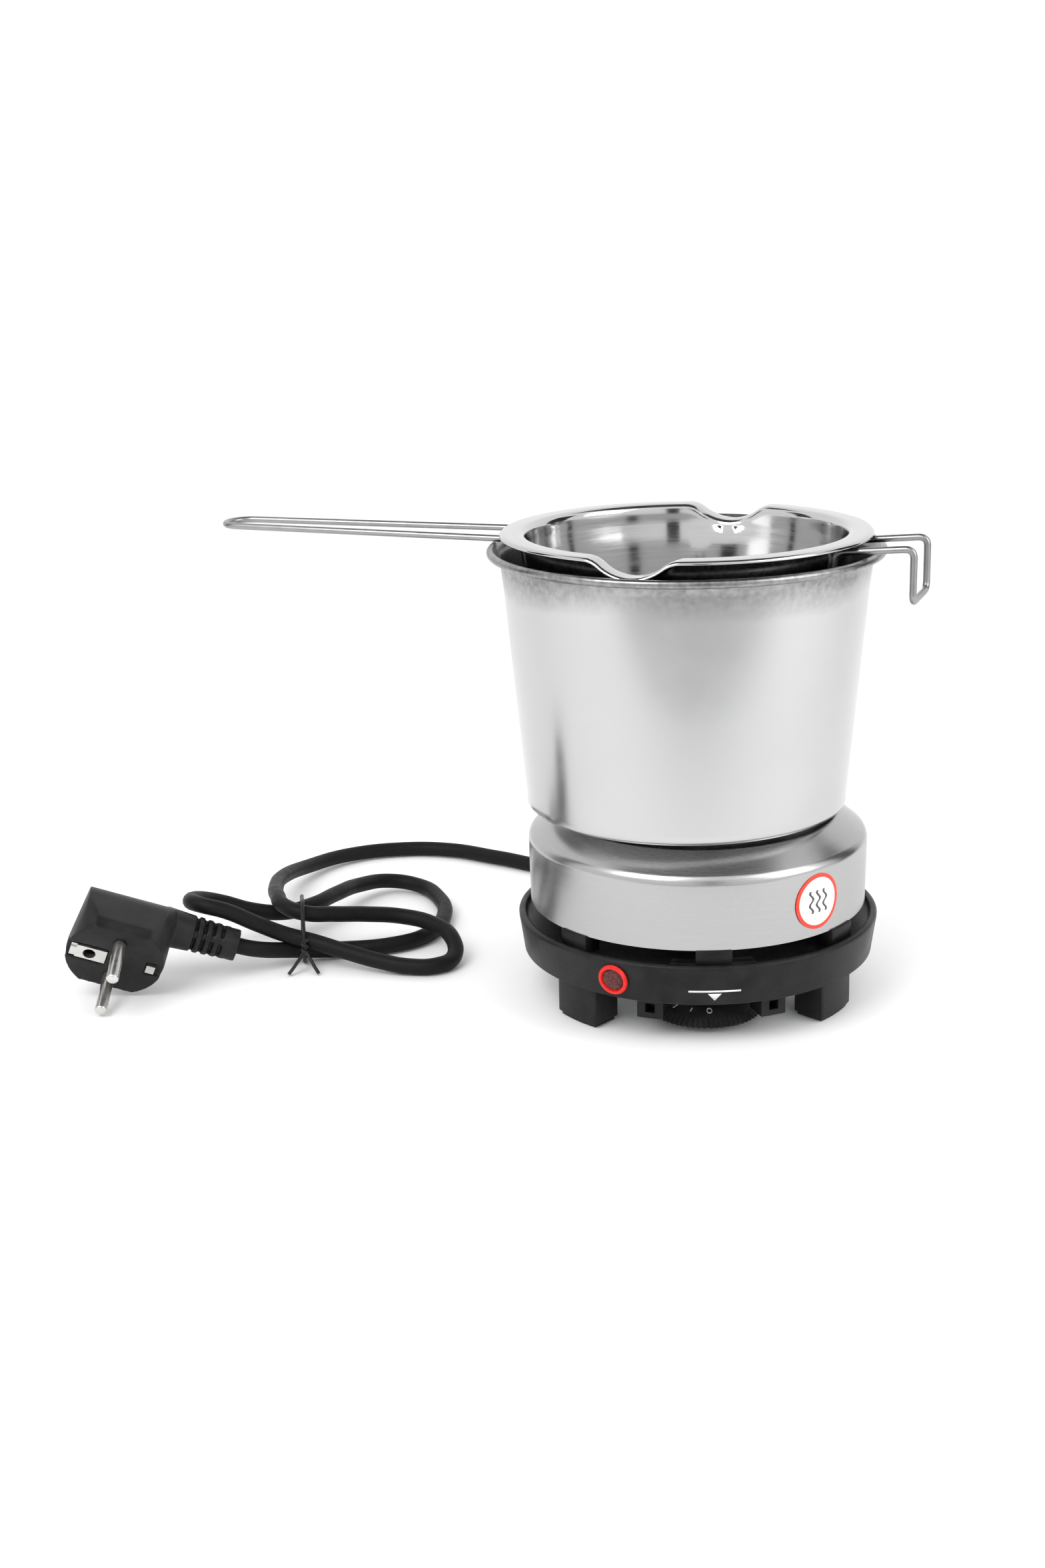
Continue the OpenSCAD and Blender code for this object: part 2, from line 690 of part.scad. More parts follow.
module plug_pins() {
    color([0.8, 0.8, 0.8]) in_plug_frame() for (s = [-1, 1]) translate([0, s * pin_gap / 2, -7.5]) {
        cylinder(r = pin_root_r - 0.02, h = 7.5 + eps, $fn = 48);
        translate([0, 0, 7.5]) cylinder(r = pin_r, h = pin_len - 0.6, $fn = 48);
        translate([0, 0, 7.5 + pin_len - 0.6 - eps]) cylinder(r1 = pin_r, r2 = pin_r - 0.6, h = 0.6, $fn = 48);
    }
}

module plug_earth_contacts() {
    color([0.8, 0.8, 0.78]) in_plug_frame() {
        difference() {
            translate([-17.6, -3.3, -2.5]) cube([14.2, 6.6, 2.2]);
            translate([-10, 0, -5]) cylinder(r = 2.5, h = 9, $fn = 48);
            translate([-17.7, -3.4, -0.9]) cube([2.4, 1.6, 2]);
            translate([-17.7, 1.8, -0.9]) cube([2.4, 1.6, 2]);
        }
        translate([12.6, -2, -2.5]) cube([3.4, 4, 2.4]);
    }
}

// The twist tie: a flattened wire loop round the four strands, and its twisted ends
module twist_tie() {
    color([0.05, 0.05, 0.06]) {
        tube([
            [-157.4, 23.7, 11], [-157.8, 24.7, 15.2], [-158.2, 29.5, 19.6], [-158.5, 34, 23],
            [-158.8, 39.5, 24], [-159.6, 46, 21.6], [-160.8, 56, 18.8], [-161.6, 64, 17.4],
            [-162.2, 68.8, 13.8], [-162, 67.8, 9], [-161, 58, 4.6], [-159.6, 44, 1.4],
            [-158.5, 34, 0.75], [-158.2, 28.4, 1.6], [-157.8, 25.2, 5.5], [-157.3, 23.7, 9]
        ], 0.6);
        tube([[-157.4, 23.6, 10.2], [-159.5, 20.5, 6], [-162.5, 17, 1]], 0.6);
        tube([[-157.3, 23.6, 9.6], [-155, 20.5, 6], [-152.5, 17.5, 1]], 0.6);
    }
}

module water_wall(t) {
    polygon([
        [0, t], [water_base_r - 3, t], [water_base_r - 0.9, 0.9 + t * 0.4], [water_base_r - t, 3],
        [water_wall_r - t, rim_top - water_base_z - 3], [0, rim_top - water_base_z - 3]
    ]);
}

module water_pot() {
    h = rim_top - water_base_z;
    color([0.8, 0.81, 0.82]) translate([pot_shift, 0, water_base_z]) rotate_extrude() {
        difference() {
            water_wall(0);
            water_wall(sheet);
            translate([0, sheet]) square([water_base_r - 3, 10]);
            translate([0, h - 3 - eps]) square([100, 2]);
        }
        polygon([
            [water_wall_r - sheet, h - 3.2], [water_wall_r, h - 3.2], [rim_r - bead_r - 1.4, h - 1.2],
            [rim_r - bead_r, h - 1.2], [rim_r - bead_r, h - 0.2], [rim_r - bead_r - 1.8, h - 0.2]
        ]);
        translate([rim_r - bead_r, h - bead_r]) circle(r = bead_r, $fn = 48);
    }
}

module in_melting_frame() {
    translate(pot_turn_axis) rotate([0, 0, pot_turn]) children();
}

module melt_wall(t) {
    bottom = flange_top - melt_depth;
    polygon([
        [0, bottom + t], [melt_base_r - 5, bottom + t], [melt_base_r - 1.5, bottom + 1.5 + t * 0.4],
        [melt_base_r - t, bottom + 6], [mouth_r + sheet - t, flange_top - 4],
        [mouth_r + sheet - t, flange_top + (t > 0 ? 5 : 0)], [0, flange_top + (t > 0 ? 5 : 0)]
    ]);
}

// A pouring spout: a round-bottomed channel pressed across the flange, pointing along -Y
module spout_channel(r, y0, y1) {
    translate([0, -y0, flange_top + spout_lift]) rotate([90, 0, 0]) cylinder(r = r, h = y1 - y0);
}

module melting_pot() {
    color([0.84, 0.85, 0.86]) in_melting_frame() difference() {
        union() {
            rotate_extrude() {
                difference() {
                    melt_wall(0);
                    melt_wall(sheet);
                }
                polygon([
                    [mouth_r, flange_top - 1], [mouth_r + 0.8, flange_top - sheet],
                    [flange_r - 1, flange_top - sheet - 0.4], [flange_r, flange_top - 1.6],
                    [flange_r, flange_top - 0.8], [flange_r - 0.8, flange_top], [mouth_r + 1, flange_top]
                ]);
            }
            for (side = [0, 180]) rotate([0, 0, side]) intersection() {
                spout_channel(spout_r + sheet, mouth_r - 0.4, flange_r + 0.3);
                translate([-20, -flange_r - 2, flange_top - 12]) cube([40, 16, 12]);
            }
        }
        for (side = [0, 180]) rotate([0, 0, side]) spout_channel(spout_r, mouth_r - 6, flange_r + 5);
    }
}

// A handle's wire starts and ends as a short leg welded to the pot's wall under the flange
module long_handle() {
    half = handle_gap / 2;
    x = sqrt(weld_r * weld_r - half * half);
    end = handle_reach - wire_r;
    color([0.72, 0.73, 0.74]) in_melting_frame() rotate([0, 0, 180]) tube(rounded([
        [x - weld_lean, -half, wire_z - weld_drop], [x, -half, wire_z], [end, -loop_r, wire_z],
        [end, loop_r, wire_z], [x, half, wire_z], [x - weld_lean, half, wire_z - weld_drop]
    ], [3.5, 8.4, 8.4, 3.5]), wire_r, 16);
}

module hook_handle() {
    half = 13.5;
    top = wire_z + hook_rise;
    low = wire_z - hook_drop;
    x = sqrt(weld_r * weld_r - half * half);
    color([0.72, 0.73, 0.74]) in_melting_frame() tube(rounded([
        [x - weld_lean, -half, wire_z - weld_drop], [x, -half, wire_z], [hook_reach, -half, top],
        [hook_reach, -half, low], [hook_reach, half, low],
        [hook_reach, half, top], [x, half, wire_z], [x - weld_lean, half, wire_z - weld_drop]
    ], [3.5, 4, 3.5, 3.5, 4, 3.5]), wire_r, 16);
}

base_ring();
rubber_feet();
bottom_cover();
cover_screws();
dial_housing();
steel_drum();
heat_sticker();
heating_plate();
heating_coil();
coil_insulation();
coil_cover_plate();
reflector_pan();
centre_stud();
stud_nuts();
cross_bracket();
bracket_screws();
thermostat_bracket();
thermostat_insulators();
bimetal_strip();
fixed_contact_leaf();
arm_root();
contact_arm();
threaded_bush();
thermostat_spindle();
thermostat_dial();
lamp_lens();
lamp_holder();
neon_bulb();
lamp_resistor();
terminal_block();
terminal_screws();
live_wire();
neutral_wire();
earth_wire();
earth_tag();
cord_gland();
cord_clamp();
clamp_screws();
mains_cord();
plug_body();
plug_face();
plug_pins();
plug_earth_contacts();
twist_tie();
water_pot();
melting_pot();
long_handle();
hook_handle();
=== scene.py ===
"""Looks of a candle melting pot: a small electric hot plate, a steel water pot and a spouted melting pot."""

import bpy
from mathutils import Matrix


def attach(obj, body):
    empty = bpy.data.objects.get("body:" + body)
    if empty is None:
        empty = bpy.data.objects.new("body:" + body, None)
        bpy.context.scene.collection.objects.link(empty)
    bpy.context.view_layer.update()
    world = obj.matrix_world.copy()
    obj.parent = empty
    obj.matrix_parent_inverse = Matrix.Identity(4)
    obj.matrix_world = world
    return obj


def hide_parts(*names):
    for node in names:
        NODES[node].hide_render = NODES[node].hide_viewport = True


bl_info = {
    "name": "Candle melting pot",
    "version": (1, 0, 0),
    "blender": (4, 5, 0),
    "location": "3D View > Sidebar > Melting pot",
    "description": "Builds the visible pieces of an electric candle melting pot around its CAD frame",
    "category": "Object",
}

import math

import bmesh
import bpy
from mathutils import Matrix, Vector

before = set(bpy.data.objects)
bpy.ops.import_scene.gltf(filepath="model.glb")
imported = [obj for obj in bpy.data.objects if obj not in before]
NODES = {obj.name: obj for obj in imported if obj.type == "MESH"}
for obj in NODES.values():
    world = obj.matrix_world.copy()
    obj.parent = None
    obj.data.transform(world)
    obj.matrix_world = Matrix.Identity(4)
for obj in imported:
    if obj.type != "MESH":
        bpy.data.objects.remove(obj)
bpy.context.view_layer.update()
MM = 0.001
TURN = math.tau
SHARP_EDGE = 0.6

# Where things are, in millimetres and degrees
POT_X = -4.3
POT_TURN = -21.5
PLUG_AT = (-228.4, -9.8, 18.4)
PLUG_TURN = (117, 20.5, 7.5)
PIN_GAP = 19
DIAL_Y = -34.8
LAMP_ANGLE = -121.5
LAMP_Z = 24.8
STICKER_ANGLE = -52.9
STICKER_Z = 50.6
GLAND_Z = 23.5
FOOT_ANGLES = (-142, -38, 38, 142)
POST_ANGLES = (-140, -90, -40, 40, 90, 140)
FLANGE_TOP = 180.7
RIM_TOP = 175.0
WIRE_Z = 176.38

# Middle of the object, in metres, where lights and sheets point
AIM = (0, 0, 0.09)

# Middle of the mains cord from the plug's sleeve to the gland
CORD_ROUTE = [
    (-185, 18.7, 13), (-177, 21.5, 10), (-163, 31, 5.6), (-146, 36, 3.5), (-122, 40, 3.5),
    (-109, 50, 3.5), (-102, 72, 3.5), (-105, 98, 3.5), (-114, 113, 4), (-127, 116, 5.5),
    (-140, 104, 8), (-149, 84, 11), (-158, 66, 12.5), (-169, 57, 12.8), (-182, 55, 15),
    (-194, 53, 19.5), (-202, 45, 24), (-204, 34, 27), (-199, 25, 28.5), (-188, 23, 26),
    (-177, 26, 19.5), (-166, 29.5, 13.2), (-154, 27.5, 10.3), (-141, 23, 7.4), (-127, 18, 4.8),
    (-115, 14.5, 3.5), (-104, 14.5, 3.5), (-97, 22, 4), (-98, 34, 8.5), (-106, 44, 10.8),
    (-119, 49.5, 12.4), (-133, 47, 14.6), (-146, 41.5, 17), (-158, 38, 19), (-167, 44, 20.3),
    (-171, 57, 20), (-174, 78, 16.5), (-174, 106, 12), (-165, 139, 6), (-148, 160, 4),
    (-125, 168, 3.5), (-101, 165, 3.5), (-79, 152, 3.5), (-49, 132, 4), (-28, 123, 8),
    (-11, 114, 14.5), (-2, 104, 21), (0, 93, 23.5), (0, 78, 23.5), (0, 62, 23.5),
]


# ---- Shapes -------------------------------------------------------------------------------------

def mm(*values):
    return Vector(values) * MM


def about_z(angle, x=0.0):
    """Turns about the upright axis at x, in degrees."""
    return Matrix.Translation(mm(x, 0, 0)) @ Matrix.Rotation(math.radians(angle), 4, "Z")


def outward(angle, z, r=0.0):
    """A frame whose Z points out of the hot plate along a radius and whose X points down."""
    return about_z(angle) @ Matrix.Translation(mm(r, 0, z)) @ Matrix.Rotation(TURN / 4, 4, "Y")


def plug_frame():
    x, y, z = (Matrix.Rotation(math.radians(a), 4, axis) for a, axis in zip(PLUG_TURN, "XYZ"))
    return Matrix.Translation(mm(*PLUG_AT)) @ z @ y @ x


def arc(centre, radius, start, stop, step, rise=None):
    """Points on an arc, or on an ellipse as high as rise, by angles in degrees."""
    turns = [math.radians(a) for a in range(start, stop, step)]
    return [(centre[0] + radius * math.cos(a), centre[1] + (rise or radius) * math.sin(a)) for a in turns]


def share_of(colour, share):
    """A colour made darker or lighter."""
    return tuple(c * share for c in colour)


def chain(bm, points, closed):
    """Vertices and edges through points in the XZ plane."""
    verts = [bm.verts.new(mm(r, 0, z)) for r, z in points]
    edges = [bm.edges.new(pair) for pair in zip(verts, verts[1:])]
    if closed:
        edges.append(bm.edges.new((verts[-1], verts[0])))
    return verts + edges


def spun(bm, points, steps=160, closed=True, place=None):
    """A full turn of an outline about Z."""
    before = set(bm.verts)
    bmesh.ops.spin(
        bm, geom=chain(bm, points, closed), cent=(0, 0, 0), axis=(0, 0, 1), dvec=(0, 0, 0),
        angle=TURN, steps=steps, use_merge=True,
    )
    fresh = [v for v in bm.verts if v not in before]
    bmesh.ops.remove_doubles(bm, verts=fresh, dist=1e-6)
    if place:
        bmesh.ops.transform(bm, matrix=place, verts=[v for v in fresh if v.is_valid])


def sector(bm, points, middle, half, steps=16, round_off=0.5):
    """Part of a turn of a closed outline, centred on an angle, with its edges rounded off."""
    before = set(bm.verts)
    geom = chain(bm, points, True)
    face = bm.faces.new([v for v in geom if isinstance(v, bmesh.types.BMVert)])
    turned = about_z(middle - half)
    bmesh.ops.transform(bm, matrix=turned, verts=face.verts)
    bmesh.ops.spin(
        bm, geom=[face, *face.edges, *face.verts], cent=(0, 0, 0), axis=(0, 0, 1), dvec=(0, 0, 0),
        angle=math.radians(2 * half), steps=steps, use_merge=False,
    )
    fresh = [v for v in bm.verts if v not in before]
    faces = {f for v in fresh for f in v.link_faces}
    bmesh.ops.recalc_face_normals(bm, faces=list(faces))
    edges = {e for v in fresh for e in v.link_edges}
    sharp = [e for e in edges if e.is_manifold and e.calc_face_angle(0) > SHARP_EDGE]
    bmesh.ops.bevel(
        bm, geom=sharp, offset=round_off * MM, offset_type="OFFSET", segments=2, profile=0.5,
        affect="EDGES", material=-1, clamp_overlap=True,
    )


def block(bm, size, centre, place=None, round_off=0.4):
    """A box with rounded edges."""
    made = bmesh.ops.create_cube(bm, size=1.0)
    verts = made["verts"]
    bmesh.ops.scale(bm, vec=mm(*size), verts=verts)
    bmesh.ops.translate(bm, vec=mm(*centre), verts=verts)
    if place:
        bmesh.ops.transform(bm, matrix=place, verts=verts)
    edges = list({e for v in verts for e in v.link_edges})
    bmesh.ops.bevel(
        bm, geom=edges, offset=round_off * MM, offset_type="OFFSET", segments=3, profile=0.5,
        affect="EDGES", material=-1, clamp_overlap=True,
    )


def add_piece(name, shape, finish, body, replaces):
    """Puts a finished mesh or curve in the scene, on its body."""
    shape.materials.append(finish)
    obj = bpy.data.objects.new(name, shape)
    bpy.context.scene.collection.objects.link(obj)
    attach(obj, body)
    if replaces:
        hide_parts(*replaces)
    return obj


def add_mesh(name, bm, finish, body, replaces=(), sharp=35):
    """Turns a finished bmesh into a piece on its body."""
    bmesh.ops.recalc_face_normals(bm, faces=bm.faces)
    mesh = bpy.data.meshes.new(name)
    bm.to_mesh(mesh)
    bm.free()
    mesh.polygons.foreach_set("use_smooth", [True] * len(mesh.polygons))
    mesh.set_sharp_from_angle(angle=math.radians(sharp))
    return add_piece(name, mesh, finish, body, replaces)


def add_curve(name, points, radius, finish, body, replaces=(), smooth=True, cyclic=False):
    """A round wire or cord along points, in millimetres."""
    curve = bpy.data.curves.new(name, "CURVE")
    curve.dimensions = "3D"
    curve.bevel_depth = radius * MM
    curve.bevel_resolution = 5
    curve.use_fill_caps = True
    curve.resolution_u = 8
    if smooth:
        spline = curve.splines.new("BEZIER")
        spline.bezier_points.add(len(points) - 1)
        for point, at in zip(spline.bezier_points, points):
            point.co = mm(*at)
            point.handle_left_type = point.handle_right_type = "AUTO"
    else:
        spline = curve.splines.new("POLY")
        spline.points.add(len(points) - 1)
        for point, at in zip(spline.points, points):
            point.co = (*mm(*at), 1)
    spline.use_cyclic_u = cyclic
    return add_piece(name, curve, finish, body, replaces)


def refinish(name, finish):
    """Gives one of the frame's own pieces a finish."""
    materials = NODES[name].data.materials
    materials.clear()
    materials.append(finish)


def eased(points, reach, steps=8):
    """A path with its inner corners rounded."""
    out = [Vector(points[0])]
    for a, p, b in zip(points, points[1:], points[2:]):
        a, p, b = Vector(a), Vector(p), Vector(b)
        u, v = p + (a - p).normalized() * reach, p + (b - p).normalized() * reach
        for i in range(steps + 1):
            t = i / steps
            out.append(u * (1 - t) ** 2 + p * 2 * t * (1 - t) + v * t * t)
    out.append(Vector(points[-1]))
    return out


# ---- Finishes -----------------------------------------------------------------------------------

class Socket:
    """A node socket that can be used in sums."""

    def __init__(self, nodes, socket):
        self.nodes, self.socket = nodes, socket

    def maths(self, operation, *values):
        return self.nodes.maths(operation, *values)

    def __add__(self, other):
        return self.maths("ADD", self, other)

    __radd__ = __add__

    def __sub__(self, other):
        return self.maths("SUBTRACT", self, other)

    def __rsub__(self, other):
        return self.maths("SUBTRACT", other, self)

    def __mul__(self, other):
        return self.maths("MULTIPLY", self, other)

    __rmul__ = __mul__

    def __lt__(self, other):
        return self.maths("LESS_THAN", self, other)

    def __gt__(self, other):
        return self.maths("GREATER_THAN", self, other)

    def __abs__(self):
        return self.maths("ABSOLUTE", self)


class Finish:
    """A procedural material."""

    def __init__(self, name, colour, roughness, metallic=0.0, **constants):
        self.material = bpy.data.materials.new(name)
        self.material.use_nodes = True
        self.tree = self.material.node_tree
        self.shader = self.tree.nodes["Principled BSDF"]
        self.set("Base Color", (*colour, 1.0))
        self.set("Roughness", roughness)
        self.set("Metallic", metallic)
        for socket, value in constants.items():
            self.set(socket.replace("_", " "), value)
        place = self.tree.nodes.new("ShaderNodeTexCoord")
        self.place = Socket(self, place.outputs["Object"])

    def link(self, value, socket):
        if isinstance(value, Socket):
            self.tree.links.new(value.socket, socket)
        elif value is not None:
            socket.default_value = value

    def set(self, name, value):
        self.link(value, self.shader.inputs[name])

    def add(self, kind, settings, *values, **named):
        """A node of a kind, with its settings and the values or links of its inputs."""
        node = self.tree.nodes.new(kind)
        for key, value in settings.items():
            setattr(node, key, value)
        for index, value in enumerate(values):
            self.link(value, node.inputs[index])
        for key, value in named.items():
            self.link(value, node.inputs[key.replace("_", " ")])
        return Socket(self, node.outputs[0])

    def maths(self, operation, *values):
        return self.add("ShaderNodeMath", {"operation": operation}, *values)

    def axes(self):
        """The place's x, y and z."""
        node = self.tree.nodes.new("ShaderNodeSeparateXYZ")
        self.tree.links.new(self.place.socket, node.inputs[0])
        return [Socket(self, output) for output in node.outputs]

    def point(self, x, y, z):
        return self.add("ShaderNodeCombineXYZ", {}, x, y, z)

    def noise(self, scale, detail=3.0, place=None, roughness=0.5):
        return self.add("ShaderNodeTexNoise", {}, Vector=place or self.place, Scale=scale, Detail=detail,
                        Roughness=roughness)

    def spread(self, value, low, high, to_low=0.0, to_high=1.0):
        return self.add("ShaderNodeMapRange", {}, value, low, high, to_low, to_high)

    def mix(self, factor, a, b):
        """A mix of two colours."""
        node = self.tree.nodes.new("ShaderNodeMix")
        node.data_type = "RGBA"
        self.link(factor, node.inputs["Factor"])
        colour_inputs = [socket for socket in node.inputs if socket.type == "RGBA"]
        for value, socket in zip((a, b), colour_inputs):
            self.link(value if isinstance(value, Socket) else (*value, 1.0), socket)
        return Socket(self, next(socket for socket in node.outputs if socket.type == "RGBA"))

    def blend(self, value, low, high, a, b):
        """A mix of two colours as a value goes from low to high."""
        return self.mix(self.spread(value, low, high), a, b)

    def bump(self, height, strength, distance):
        normal = self.add("ShaderNodeBump", {}, Height=height, Strength=strength, Distance=distance)
        self.set("Normal", normal)

    def round_and_along(self, centre_x=0.0, around=1.0, along=1.0):
        """A place unrolled from a turned surface: the angle round Z, the distance from it, and the height."""
        x, y, z = self.axes()
        x = x - centre_x
        angle = self.maths("ARCTAN2", y, x)
        radius = self.maths("SQRT", x * x + y * y)
        return self.point(angle * around, radius * along, z * along)


def moulded(name, colour, roughness, grain=0.35, scale=2600.0):
    """Moulded plastic with a fine grain and faint uneven gloss."""
    finish = Finish(name, colour, roughness, Specular_IOR_Level=0.2)
    cloud = finish.noise(90.0, 3.0)
    fine = finish.noise(scale, 2.0)
    lighter = tuple(min(1.0, c * 1.5 + 0.008) for c in colour)
    finish.set("Base Color", finish.blend(cloud, 0.35, 0.7, colour, lighter))
    finish.set("Roughness", finish.spread(cloud, 0.3, 0.7, roughness - 0.06, roughness + 0.08))
    finish.bump(fine, grain, 0.00025)
    return finish.material


def turned_steel(
    name, colour, roughness, lines, centre_x, around, along, anisotropic=0.0, shade_above=None
):
    """Steel with fine lines round its axis and faint smudges; above a height its colour is a little darker,
    as painted shade.
    """
    finish = Finish(name, colour, roughness, 1.0, Anisotropic=anisotropic)
    streaks = finish.noise(1.0, 3.0, finish.round_and_along(centre_x, around, along), 0.65)
    smudge = finish.noise(26.0, 4.0)
    steel_colour = finish.blend(streaks, 0.3, 0.7, share_of(colour, 0.9), colour)
    # Painted shade: above the given height the colour is darkened, standing in for shade (on the drum, the
    # sloped top under the pot).
    if shade_above:
        height = finish.axes()[2] + smudge * (2 * MM)
        painted_shade = finish.spread(height, (shade_above - 2.5) * MM, (shade_above + 2.5) * MM)
        steel_colour = finish.mix(painted_shade, steel_colour, share_of(colour, 0.9))
    finish.set("Base Color", steel_colour)
    uneven = streaks * 0.7 + smudge * 0.5
    finish.set("Roughness", finish.spread(uneven, 0.35, 0.85, roughness - 0.05, roughness + 0.09))
    finish.bump(streaks, lines, 0.00008)
    return finish.material


def satin_steel(name, colour, roughness):
    """Rolled steel with faint clouds; a band at the rim is rougher, and its colour is darkened as a painted
    reflection.
    """
    finish = Finish(name, colour, roughness, 1.0)
    z = finish.axes()[2]
    cloud = finish.noise(22.0, 4.0, roughness=0.6)
    fine = finish.noise(420.0, 4.0)
    # A band from a little below the rim up over it, with its edge broken by the clouds: rougher, and darkened
    # in colour as a painted reflection of the dark surroundings at the top of the wall.
    rim_dull_and_shade = finish.spread(z + cloud * (14 * MM), 166 * MM, 178 * MM)
    steel_colour = finish.blend(cloud, 0.3, 0.75, share_of(colour, 0.92), colour)
    rim_shade_grain = rim_dull_and_shade * finish.spread(fine, 0.3, 0.7, 0.55, 1.0)
    finish.set("Base Color", finish.mix(rim_shade_grain, steel_colour, share_of(colour, 0.36)))
    finish.set("Roughness", finish.spread(cloud + rim_dull_and_shade * 0.3, 0.3, 0.9, roughness - 0.03, roughness + 0.12))
    finish.bump(fine, 0.03, 0.0001)
    return finish.material


def plain_metal(name, colour, roughness):
    """Drawn or plated metal with a faint mottled gloss."""
    finish = Finish(name, colour, roughness, 1.0)
    cloud = finish.noise(240.0, 4.0)
    finish.set("Base Color", finish.blend(cloud, 0.3, 0.75, share_of(colour, 0.85), colour))
    finish.set("Roughness", finish.spread(cloud, 0.3, 0.7, roughness - 0.04, roughness + 0.1))
    finish.bump(finish.noise(900.0, 3.0), 0.12, 0.0001)
    return finish.material


def cast_iron(name):
    """Dark, grainy casting with faint clouds."""
    finish = Finish(name, (0.035, 0.035, 0.036), 0.6, 0.6)
    grain = finish.noise(1500.0, 4.0)
    cloud = finish.noise(60.0, 4.0)
    finish.set("Base Color", finish.blend(cloud, 0.3, 0.7, (0.02, 0.02, 0.021), (0.07, 0.068, 0.066)))
    finish.set("Roughness", finish.spread(grain, 0.3, 0.7, 0.5, 0.75))
    finish.bump(grain, 0.5, 0.0003)
    return finish.material


def cord_rubber(name, colour, roughness):
    """Extruded cord sheath: soft sheen, faint scuffs."""
    finish = Finish(name, colour, roughness, Specular_IOR_Level=0.12)
    scuffs = finish.noise(320.0, 5.0, roughness=0.7)
    finish.set("Base Color", finish.blend(scuffs, 0.55, 0.8, colour, (0.016, 0.016, 0.017)))
    finish.set("Roughness", finish.spread(scuffs, 0.3, 0.75, roughness - 0.05, roughness + 0.14))
    finish.bump(finish.noise(3200.0, 2.0), 0.2, 0.00012)
    return finish.material


def sticker_print(name):
    """A white disc with a red ring and three wavy heat lines."""
    finish = Finish(name, (0.9, 0.9, 0.88), 0.35)
    x, y, z = finish.axes()
    turn = math.radians(STICKER_ANGLE)
    across = x * -math.sin(turn) + y * math.cos(turn)
    up = z - STICKER_Z * MM
    from_centre = finish.maths("SQRT", across * across + up * up)
    ring_inner, half_line, half_height, wave_reach, wave_rate = 9.15, 0.55, 4.4, 0.8, 1300.0
    ring = from_centre > ring_inner * MM
    wave = finish.maths("SINE", up * wave_rate) * (wave_reach * MM)
    lines = None
    for offset in (-3.4, 0.0, 3.4):
        line = (abs(across - wave - offset * MM) < half_line * MM) * (abs(up) < half_height * MM)
        lines = line if lines is None else lines + line
    paper = finish.blend(finish.noise(400.0, 3.0), 0.3, 0.7, (0.93, 0.93, 0.92), (0.84, 0.84, 0.83))
    red = finish.mix(ring, paper, (0.75, 0.04, 0.015))
    finish.set("Base Color", finish.mix(lines, red, (0.05, 0.05, 0.05)))
    finish.set("Roughness", finish.spread(finish.noise(600.0, 3.0), 0.3, 0.7, 0.28, 0.45))
    return finish.material


def coloured(name, colour, roughness):
    """Plain painted or sleeved material with a slight mottle."""
    finish = Finish(name, colour, roughness)
    cloud = finish.noise(500.0, 3.0)
    finish.set("Base Color", finish.blend(cloud, 0.3, 0.7, colour, share_of(colour, 0.8)))
    finish.set("Roughness", finish.spread(cloud, 0.3, 0.7, roughness, roughness + 0.1))
    return finish.material


def lamp_red(name, colour, darkest):
    """Red lens plastic, mottled down to a share of its colour."""
    finish = Finish(name, colour, 0.2, Specular_IOR_Level=0.25)
    cloud = finish.noise(900.0, 2.0)
    finish.set("Base Color", finish.blend(cloud, 0.35, 0.65, colour, share_of(colour, darkest)))
    return finish.material


# ---- Settings -----------------------------------------------------------------------------------

def number(label, default, about):
    return bpy.props.FloatProperty(name=label, description=about, default=default, min=0.01, unit="NONE")


def paint(label, default, about):
    return bpy.props.FloatVectorProperty(
        name=label, description=about, default=default, min=0, max=1, size=3, subtype="COLOR"
    )


class PotSettings(bpy.types.PropertyGroup):
    """Sizes in millimetres and colours of the two pots"""

    steel: paint("Steel", (0.56, 0.56, 0.563), "Colour of both pots' steel")
    water_roughness: number("Water pot's roughness", 0.2, "How dull the water pot's wall is")
    melt_roughness: number("Melting pot's roughness", 0.09, "How dull the melting pot is")
    wire: number("Wire", 2.6, "Thickness of the handles' wire")
    sheet: number("Sheet", 0.8, "Thickness of the pots' sheet")
    spout_dip: number("Spout dip", 6.2, "How far the spouts dip below the flange")


class HeaterSettings(bpy.types.PropertyGroup):
    """Colours of the hot plate"""

    black: paint("Black", (0.0045, 0.0045, 0.005), "Colour of the moulded ring, feet and dial")
    drum: paint("Drum", (0.46, 0.46, 0.46), "Colour of the brushed drum")
    mark: paint("Mark", (0.8, 0.8, 0.8), "Colour of the pointer marks")
    lamp: paint("Lamp", (0.72, 0.02, 0.016), "Colour of the lamp's lens")
    ribs: bpy.props.IntProperty(name="Ribs", description="Ribs round the dial", default=60, min=24, max=96)


class CordSettings(bpy.types.PropertyGroup):
    """Cord and plug"""

    sheath: paint("Sheath", (0.009, 0.009, 0.0095), "Colour of cord and plug")
    thickness: number("Thickness", 6.6, "Diameter of the cord in millimetres")
    pin: paint("Pins", (0.7, 0.69, 0.67), "Colour of the plug's pins")


class StudioSettings(bpy.types.PropertyGroup):
    """Light and floor"""

    floor: paint("Floor", (0.9, 0.9, 0.9), "Colour of the floor")
    surround: number("Surround", 1.1, "Brightness of the surround")


def pots():
    return bpy.context.scene.pot_settings


def heater():
    return bpy.context.scene.heater_settings


def flex():
    return bpy.context.scene.cord_settings


class PieceOperator:
    """What the piece operators share"""

    bl_options = {"REGISTER", "UNDO"}

    def execute(self, context):
        self.build()
        return {"FINISHED"}


# ---- Pots ---------------------------------------------------------------------------------------

